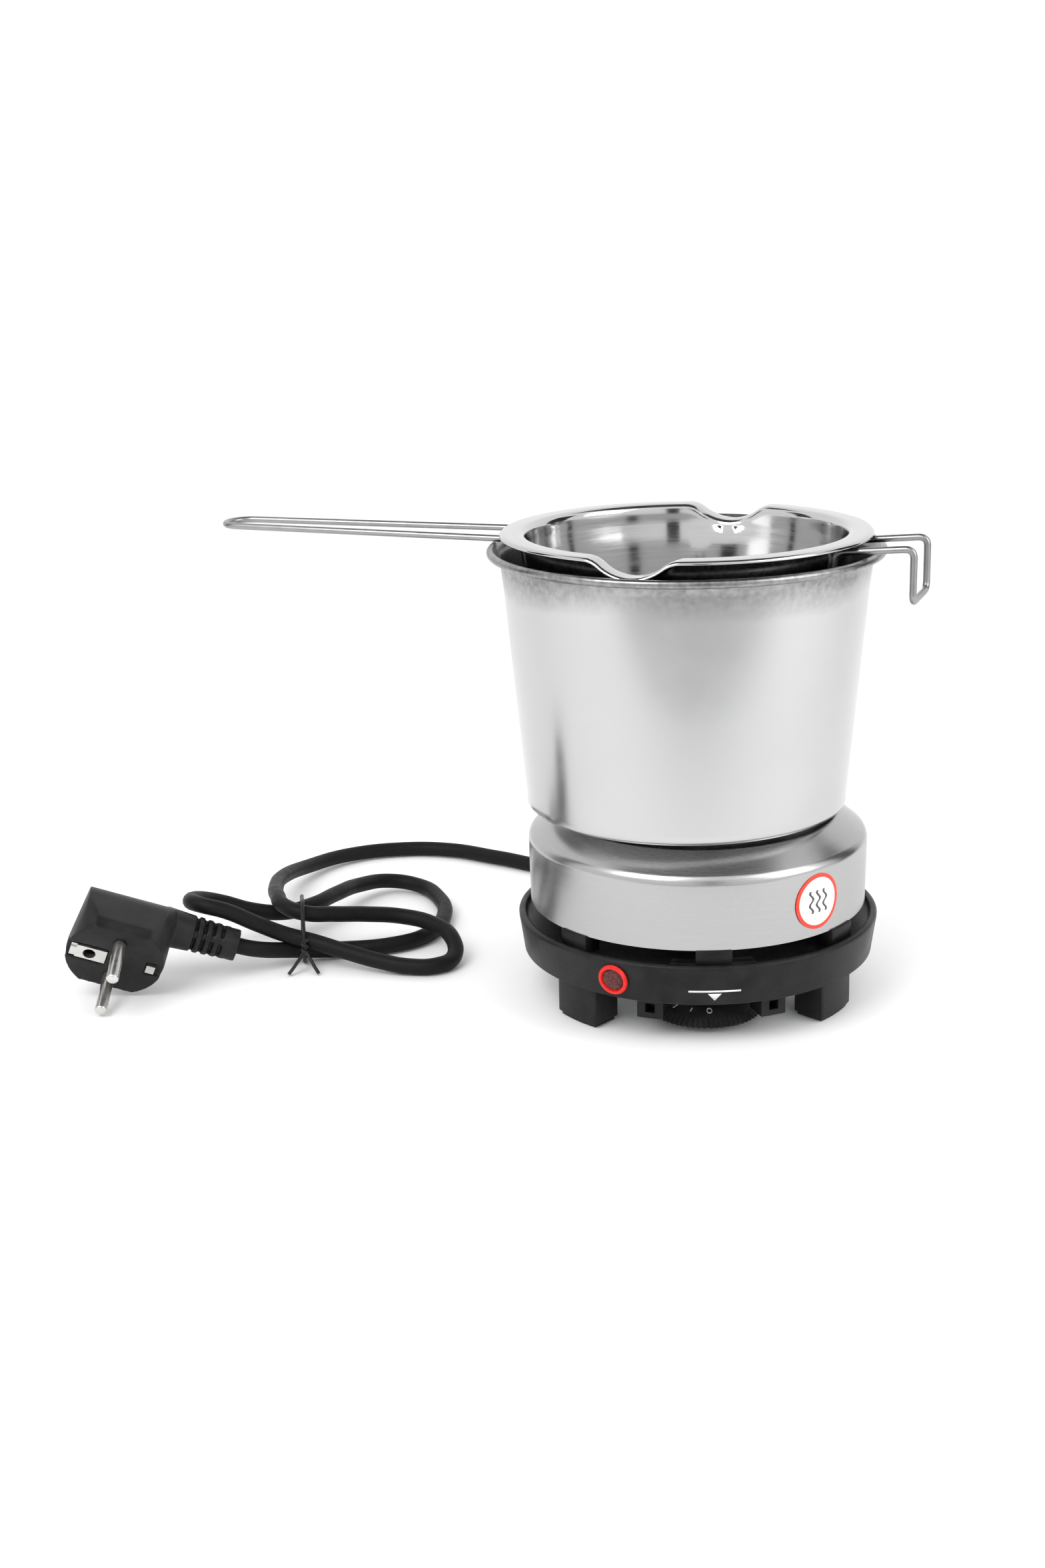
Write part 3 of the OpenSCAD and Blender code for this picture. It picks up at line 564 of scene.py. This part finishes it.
def spout_depth(x, y):
    """How far the flange is pressed down at a place, in millimetres: a spout along -Y and one along +Y."""
    radius = 19.0
    lift = radius - pots().spout_dip
    wide = math.sqrt(radius**2 - lift**2)
    side = abs(x)
    round_dip = math.sqrt(max(radius**2 - side**2, 0.0)) - lift if side < wide else 0.0
    shoulder = 3.2
    if side > wide - shoulder:
        edge = max(0.0, (wide + shoulder - side) / (2 * shoulder))
        start = math.sqrt(radius**2 - (wide - shoulder) ** 2) - lift
        round_dip = start * edge**2
    spout_start, spout_run = 51.0, 8.6
    inward = min(1.0, max(0.0, (abs(y) - spout_start) / spout_run))
    return round_dip * inward**1.5


class MELT_OT_water_pot(PieceOperator, bpy.types.Operator):
    """Makes the deep pot that holds the water, with its flared and rolled rim"""

    bl_idname = "melt.water_pot"
    bl_label = "Water pot"

    def build(self):
        sheet = pots().sheet
        low, top, bead, bead_centre = 75.25, RIM_TOP, 1.6, 73.1
        corner = arc((58.5, low + 3), 3, -90, -10, 13)
        outer = [(0, low), (30, low), *corner, (61.4, low + 4.2), (65.1, 121)]
        outer += [(68.6, 160.5), (69.5, 168), (69.9, 170.6)]
        flare = [(70.6, 172.2), (71.9, 173.3), (73.1, 174.1), (72.8, 174.9), (71.4, 174.1), (70.0, 172.9)]
        inner = [(r - sheet, z + (sheet if z < low + 1.5 else 0.25)) for r, z in reversed(outer[1:])]
        place = Matrix.Translation(mm(POT_X, 0, 0))
        bm = bmesh.new()
        spun(bm, outer + flare + inner + [(0, low + sheet)], steps=192, closed=False, place=place)
        spun(bm, arc((bead_centre, top - bead), bead, 0, 360, 24), steps=192, place=place)
        finish = satin_steel("satin steel", tuple(pots().steel), pots().water_roughness)
        add_mesh("water_pot_shell", bm, finish, "water_pot", ["water_pot"], 50)


class MELT_OT_melting_pot(PieceOperator, bpy.types.Operator):
    """Makes the tapered inner pot, whose flange is pressed down into two pouring spouts"""

    bl_idname = "melt.melting_pot"
    bl_label = "Melting pot"

    def build(self):
        sheet = pots().sheet
        top = FLANGE_TOP
        low = top - 66
        wall = [(0, low), (25, low), (46, low), (49.4, low + 0.8), (51.6, low + 3.2), (52.4, low + 6.5)]
        wall += [(54.4, low + 20), (56.4, low + 34), (58.4, low + 48), (59.2, low + 54), (59.9, low + 58)]
        wall += [(60.2, low + 61.5), (60.3, top - 2.4), (60.5, top - 1.5), (61.1, top - 0.8)]
        wall += [(r, top - 0.4) for r in (62.2, 64, 66, 68)]
        wall += [(68.8, top - 0.5), (69.2, top - 0.9), (69.3, top - 1.5)]
        bm = bmesh.new()
        spun(bm, wall, steps=240, closed=False)
        press_from, press_full, press_reach = top - 9, top - 3, 57
        for vert in bm.verts:
            x, y, z = vert.co / MM
            if z > press_from and math.hypot(x, y) > press_reach:
                share = 1.0 if z > press_full else max(0.0, (z - press_from) / (press_full - press_from))
                vert.co.z -= spout_depth(x, y) * share * MM
        bmesh.ops.transform(bm, matrix=about_z(POT_TURN, POT_X), verts=bm.verts)
        finish = turned_steel(
            "polished steel", tuple(pots().steel), pots().melt_roughness, 0.05, POT_X * MM, 2.0, 700.0
        )
        pot = add_mesh("melting_pot_shell", bm, finish, "melting_pot", ["melting_pot"], 60)
        thick = pot.modifiers.new("sheet", "SOLIDIFY")
        thick.thickness = sheet * MM
        thick.offset = 0
        thick.use_even_offset = True


class MELT_OT_handles(PieceOperator, bpy.types.Operator):
    """Bends the long looped handle and the short hook, with their ends down the pot's wall"""

    bl_idname = "melt.handles"
    bl_label = "Wire handles"

    def wire(self, name, points, finish, node):
        add_curve(name, points, pots().wire / 2, finish, "melting_pot", [node], smooth=False)

    def build(self):
        finish = plain_metal("drawn wire", (0.36, 0.36, 0.365), 0.3)
        wire = pots().wire / 2
        foot = 61.5
        low = WIRE_Z - 9
        place = about_z(POT_TURN, POT_X)

        def put(points):
            return [tuple(place @ mm(*p) / MM) for p in points]

        half, bend, reach = 12.5, 8.5, 194
        x = math.sqrt(foot**2 - half**2)
        loop = [(-x + 1.2, -half, low), (-x, -half, WIRE_Z - 3.4)]
        loop += [(-x - 1.0, -half, WIRE_Z - 1.0), (-x - 3.4, -half, WIRE_Z)]
        loop += [(u, v, WIRE_Z) for u, v in arc((bend + wire - reach, 0), bend, 268, 91, -8)]
        loop += [(-x - 3.4, half, WIRE_Z), (-x - 1.0, half, WIRE_Z - 1.0), (-x, half, WIRE_Z - 3.4)]
        loop += [(-x + 1.2, half, low)]
        self.wire("long_wire_handle", put(loop), finish, "long_handle")

        half, far, rise, drop = 13.5, 88, WIRE_Z + 2.4, WIRE_Z - 17
        x = math.sqrt(foot**2 - half**2)
        hook = eased([
            (x - 1.2, -half, low), (x, -half, WIRE_Z), (far, -half, rise), (far, -half, drop),
            (far, half, drop), (far, half, rise), (x, half, WIRE_Z), (x - 1.2, half, low),
        ], 3.6)
        self.wire("hook_wire_handle", put(hook), finish, "hook_handle")


# ---- Hot plate ----------------------------------------------------------------------------------

class MELT_OT_base_ring(PieceOperator, bpy.types.Operator):
    """Makes the moulded ring with its feet, posts and bottom edge"""

    bl_idname = "melt.base_ring"
    bl_label = "Base ring"

    def build(self):
        bm = bmesh.new()
        outline = [
            (45, 27.5), (45.4, 27.2), (65.2, 27.2), (65.6, 26.8), (65.6, 17.3), (65.9, 17), (67.5, 17),
            (67.95, 17.35), (68.3, 20), (69.85, 30.6), (69.9, 31.3), (69.7, 31.9), (69.3, 32.35),
            (68.7, 32.5), (67.9, 32.5), (67.4, 32.3), (67.1, 31.9), (66.9, 30.4), (66.4, 30), (45.4, 30),
            (45, 29.6),
        ]
        spun(bm, outline, steps=192)
        for angle in FOOT_ANGLES:
            sector(bm, [(50, 1.2), (63.3, 1.2), (63.3, 28.5), (50, 28.5)], angle, 10, 12, 0.6)
        for angle in POST_ANGLES:
            sector(bm, [(58, 29.5), (66, 29.5), (66, 37.1), (58, 37.1)], angle, 5.9, 8, 0.4)
        sector(bm, [(60.5, 29.5), (65.7, 29.5), (65.7, 32.3), (60.5, 32.3)], -90, 14, 12, 0.4)
        black = moulded("black moulding", tuple(heater().black), 0.38, 0.5, 1500.0)
        add_mesh("moulded_ring", bm, black, "base", ["base_ring"])


class MELT_OT_drum(PieceOperator, bpy.types.Operator):
    """Makes the brushed drum, its shoulder and the seat for the heating plate"""

    bl_idname = "melt.drum"
    bl_label = "Steel drum"

    def build(self):
        centre, radius, sheet = (60.5, 61.5), 5.0, 0.8
        outer = [(65.1, 37.1), (65.2, 44), (65.35, 52), *arc(centre, radius, 0, 51, 5)]
        outer += [(58.2, 69.5), (55.2, 71.9), (54.4, 72.5), (53.6, 72.6), (53.05, 72.1), (53, 70), (53, 67.8)]
        inner = [(48.5, 67.8), (48.5, 67.0), (53.8, 67.0), (53.8, 71.4)]
        inner += [*arc(centre, radius - sheet, 50, -1, -5), (64.3, 37.1)]
        bm = bmesh.new()
        spun(bm, outer + inner, steps=192)
        # The darker colour above 66 mm is painted shade on the drum's sloped top, under the pot.
        finish = turned_steel(
            "brushed steel", tuple(heater().drum), 0.22, 0.14, 0.0, 5.0, 7000.0,
            anisotropic=0.5, shade_above=66.0,
        )
        add_mesh("drum_shell", bm, finish, "base", ["steel_drum"], 50)


class MELT_OT_dial(PieceOperator, bpy.types.Operator):
    """Makes the ribbed thermostat dial and its white scale"""

    bl_idname = "melt.dial"
    bl_label = "Thermostat dial"

    def build(self):
        ribs = heater().ribs
        place = Matrix.Translation(mm(0, DIAL_Y, 0))
        bm = bmesh.new()
        outline = [(0, 2.9), (17.5, 2.9), (17.9, 2.6), (20.9, 2.6), (21.3, 2.8), (21.3, 3.1), (18.7, 5.3)]
        outline += [(18.2, 5.6), (16.5, 6.6), (12.5, 7.8), (9.4, 8.3), (9.0, 8.8), (9.0, 10.6), (8.6, 11.0)]
        outline += [(2.6, 11.0), (2.1, 10.6), (2.1, 5), (0, 5)]
        spun(bm, outline, steps=ribs * 6, closed=False)
        ribs_from, ribs_top, rib_depth = 18.0, 5.45, 0.85
        for vert in bm.verts:
            reach = vert.co.xy.length / MM
            if reach > ribs_from and vert.co.z < ribs_top * MM:
                wave = 0.5 + 0.5 * math.cos(ribs * math.atan2(vert.co.y, vert.co.x))
                shrink = 1 - rib_depth * (1 - wave**0.6) / reach
                vert.co.x *= shrink
                vert.co.y *= shrink
        bmesh.ops.transform(bm, matrix=place, verts=bm.verts)
        black = moulded("dial moulding", share_of(heater().black, 3.2), 0.4)
        add_mesh("ribbed_dial", bm, black, "dial", ["thermostat_dial"])

        scale_r, mark_z, nought_z, full_turn, step = 14.6, 7.25, 7.1, 270, 27
        tilt = Matrix.Rotation(math.radians(17), 4, "Y")
        marks = bmesh.new()
        nought = place @ about_z(-90) @ Matrix.Translation(mm(scale_r, 0, nought_z)) @ tilt
        spun(
            marks, [(1.15, 0), (1.6, 0), (1.6, 0.26), (1.15, 0.26)], steps=40,
            place=nought @ Matrix.Diagonal((1.0, 0.66, 1.0, 1.0)),
        )
        for turn in range(step, full_turn + 1, step):
            at = place @ about_z(-90 - turn) @ Matrix.Translation(mm(scale_r, 0, mark_z)) @ tilt
            long_mark = turn % (2 * step) == 0
            block(marks, (3.4 if long_mark else 2.0, 0.5, 0.16), (0, 0, 0), at, 0.05)
        white = coloured("dial print", tuple(heater().mark), 0.5)
        add_mesh("dial_scale", marks, white, "dial")


class MELT_OT_pointer(PieceOperator, bpy.types.Operator):
    """Lays the white bar and triangle on the front of the ring"""

    bl_idname = "melt.pointer"
    bl_label = "Pointer marks"

    def build(self):
        bm = bmesh.new()

        def on_ring(angle, z):
            low, high = (68.3, 20), (69.85, 30.6)
            radius = low[0] + (z - low[1]) * (high[0] - low[0]) / (high[1] - low[1]) + 0.06
            turn = math.radians(angle)
            return bm.verts.new(mm(radius * math.cos(turn), radius * math.sin(turn), z))

        angles = [-98 + 0.8 * i for i in range(21)]
        rows = [[on_ring(angle, z) for angle in angles] for z in (22.3, 23.0)]
        for left, right, over_left, over_right in zip(rows[0], rows[0][1:], rows[1], rows[1][1:]):
            bm.faces.new((left, right, over_right, over_left))
        tip = [on_ring(-92.1, 21.7), on_ring(-87.9, 21.7), on_ring(-90, 18.9)]
        bm.faces.new(tip)
        white = coloured("pointer print", tuple(heater().mark), 0.5)
        print_layer = add_mesh("pointer_marks", bm, white, "base")
        layer = print_layer.modifiers.new("layer", "SOLIDIFY")
        layer.thickness = 0.1 * MM
        layer.offset = 0


class MELT_OT_lamp(PieceOperator, bpy.types.Operator):
    """Makes the domed lamp lens in its bezel"""

    bl_idname = "melt.lamp"
    bl_label = "Lamp lens"

    def build(self):
        wall_r, wall_lean = 69.07, math.radians(8)
        place = outward(LAMP_ANGLE, LAMP_Z, wall_r) @ Matrix.Rotation(wall_lean, 4, "Y")
        bezel = bmesh.new()
        outline = [(3.5, -4.5), (3.5, 0.1), (5.6, 0.1), (5.9, 0.4), (5.9, 1.0), (5.65, 1.5), (5.1, 1.7)]
        outline += [(4.6, 1.5), (4.3, 0.8), (3.2, 0.8), (3.2, -4.5)]
        spun(bezel, outline, steps=64, place=place)
        red = tuple(heater().lamp)
        add_mesh("lamp_bezel", bezel, lamp_red("lamp rim red", red, 0.85), "base")
        lens = bmesh.new()
        dome = arc((0, 0.7), 4.25, 90, -1, -10, 1.2)
        spun(lens, dome + [(3.1, 0.6), (3.1, -3), (0, -3)], steps=64, closed=False, place=place)
        smoky = lamp_red("lamp red", tuple(0.03 + 0.14 * c for c in red), 0.35)
        add_mesh("lamp_dome", lens, smoky, "base", ["lamp_lens"])


class MELT_OT_gland(PieceOperator, bpy.types.Operator):
    """Makes the cord's tapered strain relief at the back"""

    bl_idname = "melt.gland"
    bl_label = "Cord gland"

    def build(self):
        bm = bmesh.new()
        bore, start, end, rib_w, rib_depth, count = 3.5, 73.0, 91.4, 1.5, 0.7, 7
        ribs = []
        for index in range(count):
            z = start + index * (end - rib_w - start) / (count - 1)
            r = 6.2 - 1.5 * index / (count - 1)
            ribs += [(r - rib_depth, z - 0.2), (r, z), (r, z + 1.3), (r - rib_depth, z + rib_w)]
        outline = [(bore, 62), (4.5, 62), (4.5, 69.9), (6.0, 69.9), (6.4, 70.3), (6.4, 71.3), (6.1, 71.7)]
        outline += [*ribs, (4.4, end), (4.0, end + 0.2), (bore, end)]
        spun(bm, outline, steps=64, place=outward(90, GLAND_Z))
        rubber = moulded("soft black", tuple(flex().sheath), 0.5, 0.4)
        add_mesh("tapered_gland", bm, rubber, "base", ["cord_gland"])


class MELT_OT_plated_nodes(PieceOperator, bpy.types.Operator):
    """Gives the frame's own pieces their finishes"""

    bl_idname = "melt.plated_nodes"
    bl_label = "Inner and small pieces"

    def build(self):
        zinc = plain_metal("zinc plate", (0.6, 0.61, 0.62), 0.32)
        brass = plain_metal("brass", (0.72, 0.52, 0.22), 0.28)
        ceramic = coloured("ceramic", (0.8, 0.78, 0.7), 0.7)
        finishes = {
            moulded("feet rubber", (0.02, 0.02, 0.02), 0.7): ["rubber_feet"],
            moulded("housing moulding", tuple(heater().black), 0.42): ["dial_housing", "cord_clamp"],
            zinc: [
                "bottom_cover", "cover_screws", "coil_cover_plate", "reflector_pan", "centre_stud",
                "stud_nuts", "cross_bracket", "bracket_screws", "thermostat_bracket", "clamp_screws",
            ],
            brass: [
                "bimetal_strip", "fixed_contact_leaf", "arm_root", "contact_arm", "threaded_bush",
                "terminal_screws", "earth_tag",
            ],
            ceramic: ["thermostat_insulators", "coil_insulation"],
            plain_metal("spindle steel", (0.7, 0.7, 0.69), 0.25): ["thermostat_spindle"],
            coloured("oxidised heater", (0.16, 0.12, 0.1), 0.6): ["heating_coil"],
            cast_iron("cast iron"): ["heating_plate"],
            sticker_print("heat sticker print"): ["heat_sticker"],
            coloured("white plastic", (0.85, 0.85, 0.82), 0.4): ["terminal_block", "lamp_holder"],
            coloured("neon glass", (0.9, 0.5, 0.35), 0.1): ["neon_bulb"],
            coloured("resistor paint", (0.6, 0.45, 0.28), 0.5): ["lamp_resistor"],
            coloured("brown sleeve", (0.16, 0.07, 0.03), 0.45): ["live_wire"],
            coloured("blue sleeve", (0.04, 0.12, 0.38), 0.45): ["neutral_wire"],
            coloured("green sleeve", (0.12, 0.35, 0.06), 0.45): ["earth_wire"],
        }
        for material, names in finishes.items():
            for name in names:
                refinish(name, material)


# ---- Cord and plug ------------------------------------------------------------------------------

class MELT_OT_cord(PieceOperator, bpy.types.Operator):
    """Lays the mains cord along its folded route"""

    bl_idname = "melt.cord"
    bl_label = "Mains cord"

    def build(self):
        sheath = cord_rubber("cord sheath", tuple(flex().sheath), 0.46)
        thickness = flex().thickness
        cord = add_curve("folded_cord", CORD_ROUTE, thickness / 2, sheath, "base", ["mains_cord"])


class MELT_OT_plug(PieceOperator, bpy.types.Operator):
    """Makes the moulded plug with its slotted sleeve, pins and earth contacts"""

    bl_idname = "melt.plug"
    bl_label = "Plug"

    def build(self):
        place = plug_frame()
        rubber = moulded("plug rubber", tuple(flex().sheath), 0.42, 0.3)
        pressed_in = Matrix.Translation(mm(0, 0, -0.45)) @ Matrix.Diagonal((1.03, 1.03, 0.9, 1))
        bm = bmesh.new()
        bm.from_mesh(NODES["plug_body"].data)
        shell = set(bm.verts)
        bm.from_mesh(NODES["plug_face"].data)
        insert = [v for v in bm.verts if v not in shell]
        bmesh.ops.transform(bm, matrix=place @ pressed_in @ place.inverted(), verts=insert)
        bmesh.ops.remove_doubles(bm, verts=bm.verts, dist=1e-6)
        body = add_mesh("moulded_plug", bm, rubber, "base", ["plug_body", "plug_face"], 180)
        remesh = body.modifiers.new("blend", "REMESH")
        remesh.mode = "VOXEL"
        remesh.voxel_size = 0.45 * MM
        remesh.use_smooth_shade = True
        soften = body.modifiers.new("soften", "SMOOTH")
        soften.factor = 0.5
        soften.iterations = 4

        pins = bmesh.new()
        for side in (-1, 1):
            outline = [(0, -7), (2.05, -7), (2.05, 0), (2.4, 0.1), *arc((0, 17.6), 2.4, 0, 91, 10, 1.4)]
            at = place @ Matrix.Translation(mm(0, PIN_GAP / 2 * side, 0))
            spun(pins, outline, steps=48, closed=False, place=at)
        steel = plain_metal("pin metal", tuple(flex().pin), 0.27)
        add_mesh("round_pins", pins, steel, "base", ["plug_pins"])
        refinish("plug_earth_contacts", plain_metal("earth contact", (0.72, 0.71, 0.68), 0.35))


class MELT_OT_tie(PieceOperator, bpy.types.Operator):
    """Twists the wire tie round the folded cord"""

    bl_idname = "melt.tie"
    bl_label = "Twist tie"

    def build(self):
        finish = moulded("tie plastic", (0.012, 0.012, 0.013), 0.35, 0.2)
        loop = [
            (-157.4, 23.7, 11), (-157.8, 24.7, 15.2), (-158.2, 29.5, 19.6), (-158.5, 34, 23),
            (-158.8, 39.5, 24), (-159.6, 46, 21.6), (-160.8, 56, 18.8), (-161.6, 64, 17.4),
            (-162.2, 68.8, 13.8), (-162, 67.8, 9), (-161, 58, 4.6), (-159.6, 44, 1.6),
            (-158.5, 34, 0.85), (-158.2, 28.4, 1.6), (-157.8, 25.2, 5.5), (-157.3, 23.7, 9),
        ]
        add_curve("tie_wire", loop, 0.8, finish, "base", ["twist_tie"], cyclic=True)
        knot = [
            (-157.4 + 1.0 * math.cos(turn), 23.6 + 1.0 * math.sin(turn), 12.4 - 0.42 * turn)
            for turn in range(14)
        ]
        add_curve("tie_knot", knot, 0.7, finish, "base")
        tails = [
            (-163.6, 15.8, 0.9), (-161.6, 17.9, 3.0), (-159.3, 20.6, 5.6), (-157.4, 22.6, 7.4),
            (-155.2, 20.8, 5.4), (-153.2, 18.2, 2.8), (-151.6, 16.2, 0.9),
        ]
        add_curve("tie_tails", tails, 0.7, finish, "base")


# ---- Studio -------------------------------------------------------------------------------------

class MELT_OT_studio(PieceOperator, bpy.types.Operator):
    """Sets the camera, the pale floor and the soft light"""

    bl_idname = "melt.studio"
    bl_label = "Studio"

    def light(self, name, place, size, energy):
        data = bpy.data.lights.new(name, "AREA")
        data.shape = "RECTANGLE"
        data.size, data.size_y = size
        data.energy = energy
        obj = bpy.data.objects.new(name, data)
        bpy.context.scene.collection.objects.link(obj)
        obj.location = place
        aim = Vector(AIM) - Vector(place)
        obj.rotation_euler = aim.to_track_quat("-Z", "Y").to_euler()

    def card(self, name, place, size, shade, flat=False):
        """A sheet that only shows in reflections: turned to the object, or lying flat."""
        bpy.ops.mesh.primitive_plane_add(size=1.0, location=place)
        obj = bpy.context.object
        obj.name = name
        obj.scale = (*size, 1)
        aim = Vector(AIM) - Vector(place)
        if not flat:
            obj.rotation_euler = aim.to_track_quat("Z", "Y").to_euler()
        obj.data.materials.append(Finish(name, (shade, shade, shade), 1.0).material)
        obj.visible_camera = obj.visible_diffuse = obj.visible_shadow = False

    def build(self):
        scene = bpy.context.scene
        look = scene.studio_settings
        place, yaw, pitch, roll, lens = (-0.0745, -0.7740, 0.3087), -0.0091, 0.2837, -0.0237, 47.914
        camera = bpy.data.objects.new("camera", bpy.data.cameras.new("camera"))
        camera.matrix_world = (
            Matrix.Translation(place) @ Matrix.Rotation(yaw, 4, "Z")
            @ Matrix.Rotation(TURN / 4 - pitch, 4, "X") @ Matrix.Rotation(roll, 4, "Z")
        )
        camera.data.sensor_width = 36
        camera.data.lens = lens
        camera.data.clip_start = 0.01
        scene.collection.objects.link(camera)
        scene.camera = camera

        bpy.ops.mesh.primitive_plane_add(size=60, location=(0, 0, -0.0001))
        floor = bpy.context.object
        floor.name = "floor"
        floor.data.materials.append(Finish("floor", tuple(look.floor), 0.7).material)

        world = bpy.data.worlds.new("surround")
        world.use_nodes = True
        background = world.node_tree.nodes["Background"]
        background.inputs["Color"].default_value = (1, 1, 1, 1)
        background.inputs["Strength"].default_value = look.surround
        scene.world = world
        scene.view_settings.view_transform = "Standard"
        self.light("key", (-0.7, -0.7, 1.1), (0.8, 0.8), 9)
        self.light("fill", (0.9, -0.5, 0.7), (0.7, 0.9), 5)
        self.card("left card", (-0.75, 0.2, 0.2), (0.22, 1.0), 0.02)
        self.card("right card", (0.75, 0.25, 0.2), (0.35, 1.0), 0.02)
        self.card("front card", (0.1, -1.4, 0.5), (0.25, 1.0), 0.03)
        self.card("table card", (0.03, -1.0, 0.001), (1.1, 1.34), 0.46, flat=True)
        self.card("ceiling card", (0.0, 0.1, 0.95), (1.0, 0.9), 0.05, flat=True)


# ---- Panel and running --------------------------------------------------------------------------

PIECES = (
    MELT_OT_studio, MELT_OT_plug, MELT_OT_tie, MELT_OT_cord, MELT_OT_gland, MELT_OT_water_pot,
    MELT_OT_melting_pot, MELT_OT_handles, MELT_OT_base_ring, MELT_OT_drum, MELT_OT_dial, MELT_OT_pointer,
    MELT_OT_lamp, MELT_OT_plated_nodes,
)
SETTINGS = {
    "pot_settings": PotSettings, "heater_settings": HeaterSettings, "cord_settings": CordSettings,
    "studio_settings": StudioSettings,
}


class MELT_PT_pieces(bpy.types.Panel):
    """Lists the pieces and their settings"""

    bl_label = "Melting pot"
    bl_idname = "MELT_PT_pieces"
    bl_space_type = "VIEW_3D"
    bl_region_type = "UI"
    bl_category = "Melting pot"

    def draw(self, context):
        for name, group in SETTINGS.items():
            settings = getattr(context.scene, name)
            for prop in group.__annotations__:
                self.layout.prop(settings, prop)
        for piece in PIECES:
            self.layout.operator(piece.bl_idname)


def register():
    for group in SETTINGS.values():
        bpy.utils.register_class(group)
    for name, group in SETTINGS.items():
        setattr(bpy.types.Scene, name, bpy.props.PointerProperty(type=group))
    for piece in (*PIECES, MELT_PT_pieces):
        bpy.utils.register_class(piece)


def unregister():
    for piece in (MELT_PT_pieces, *reversed(PIECES)):
        bpy.utils.unregister_class(piece)
    for name, group in SETTINGS.items():
        delattr(bpy.types.Scene, name)
        bpy.utils.unregister_class(group)


def main():
    register()
    for piece in PIECES:
        family, name = piece.bl_idname.split(".")
        getattr(getattr(bpy.ops, family), name)()


if __name__ == "__main__":
    main()
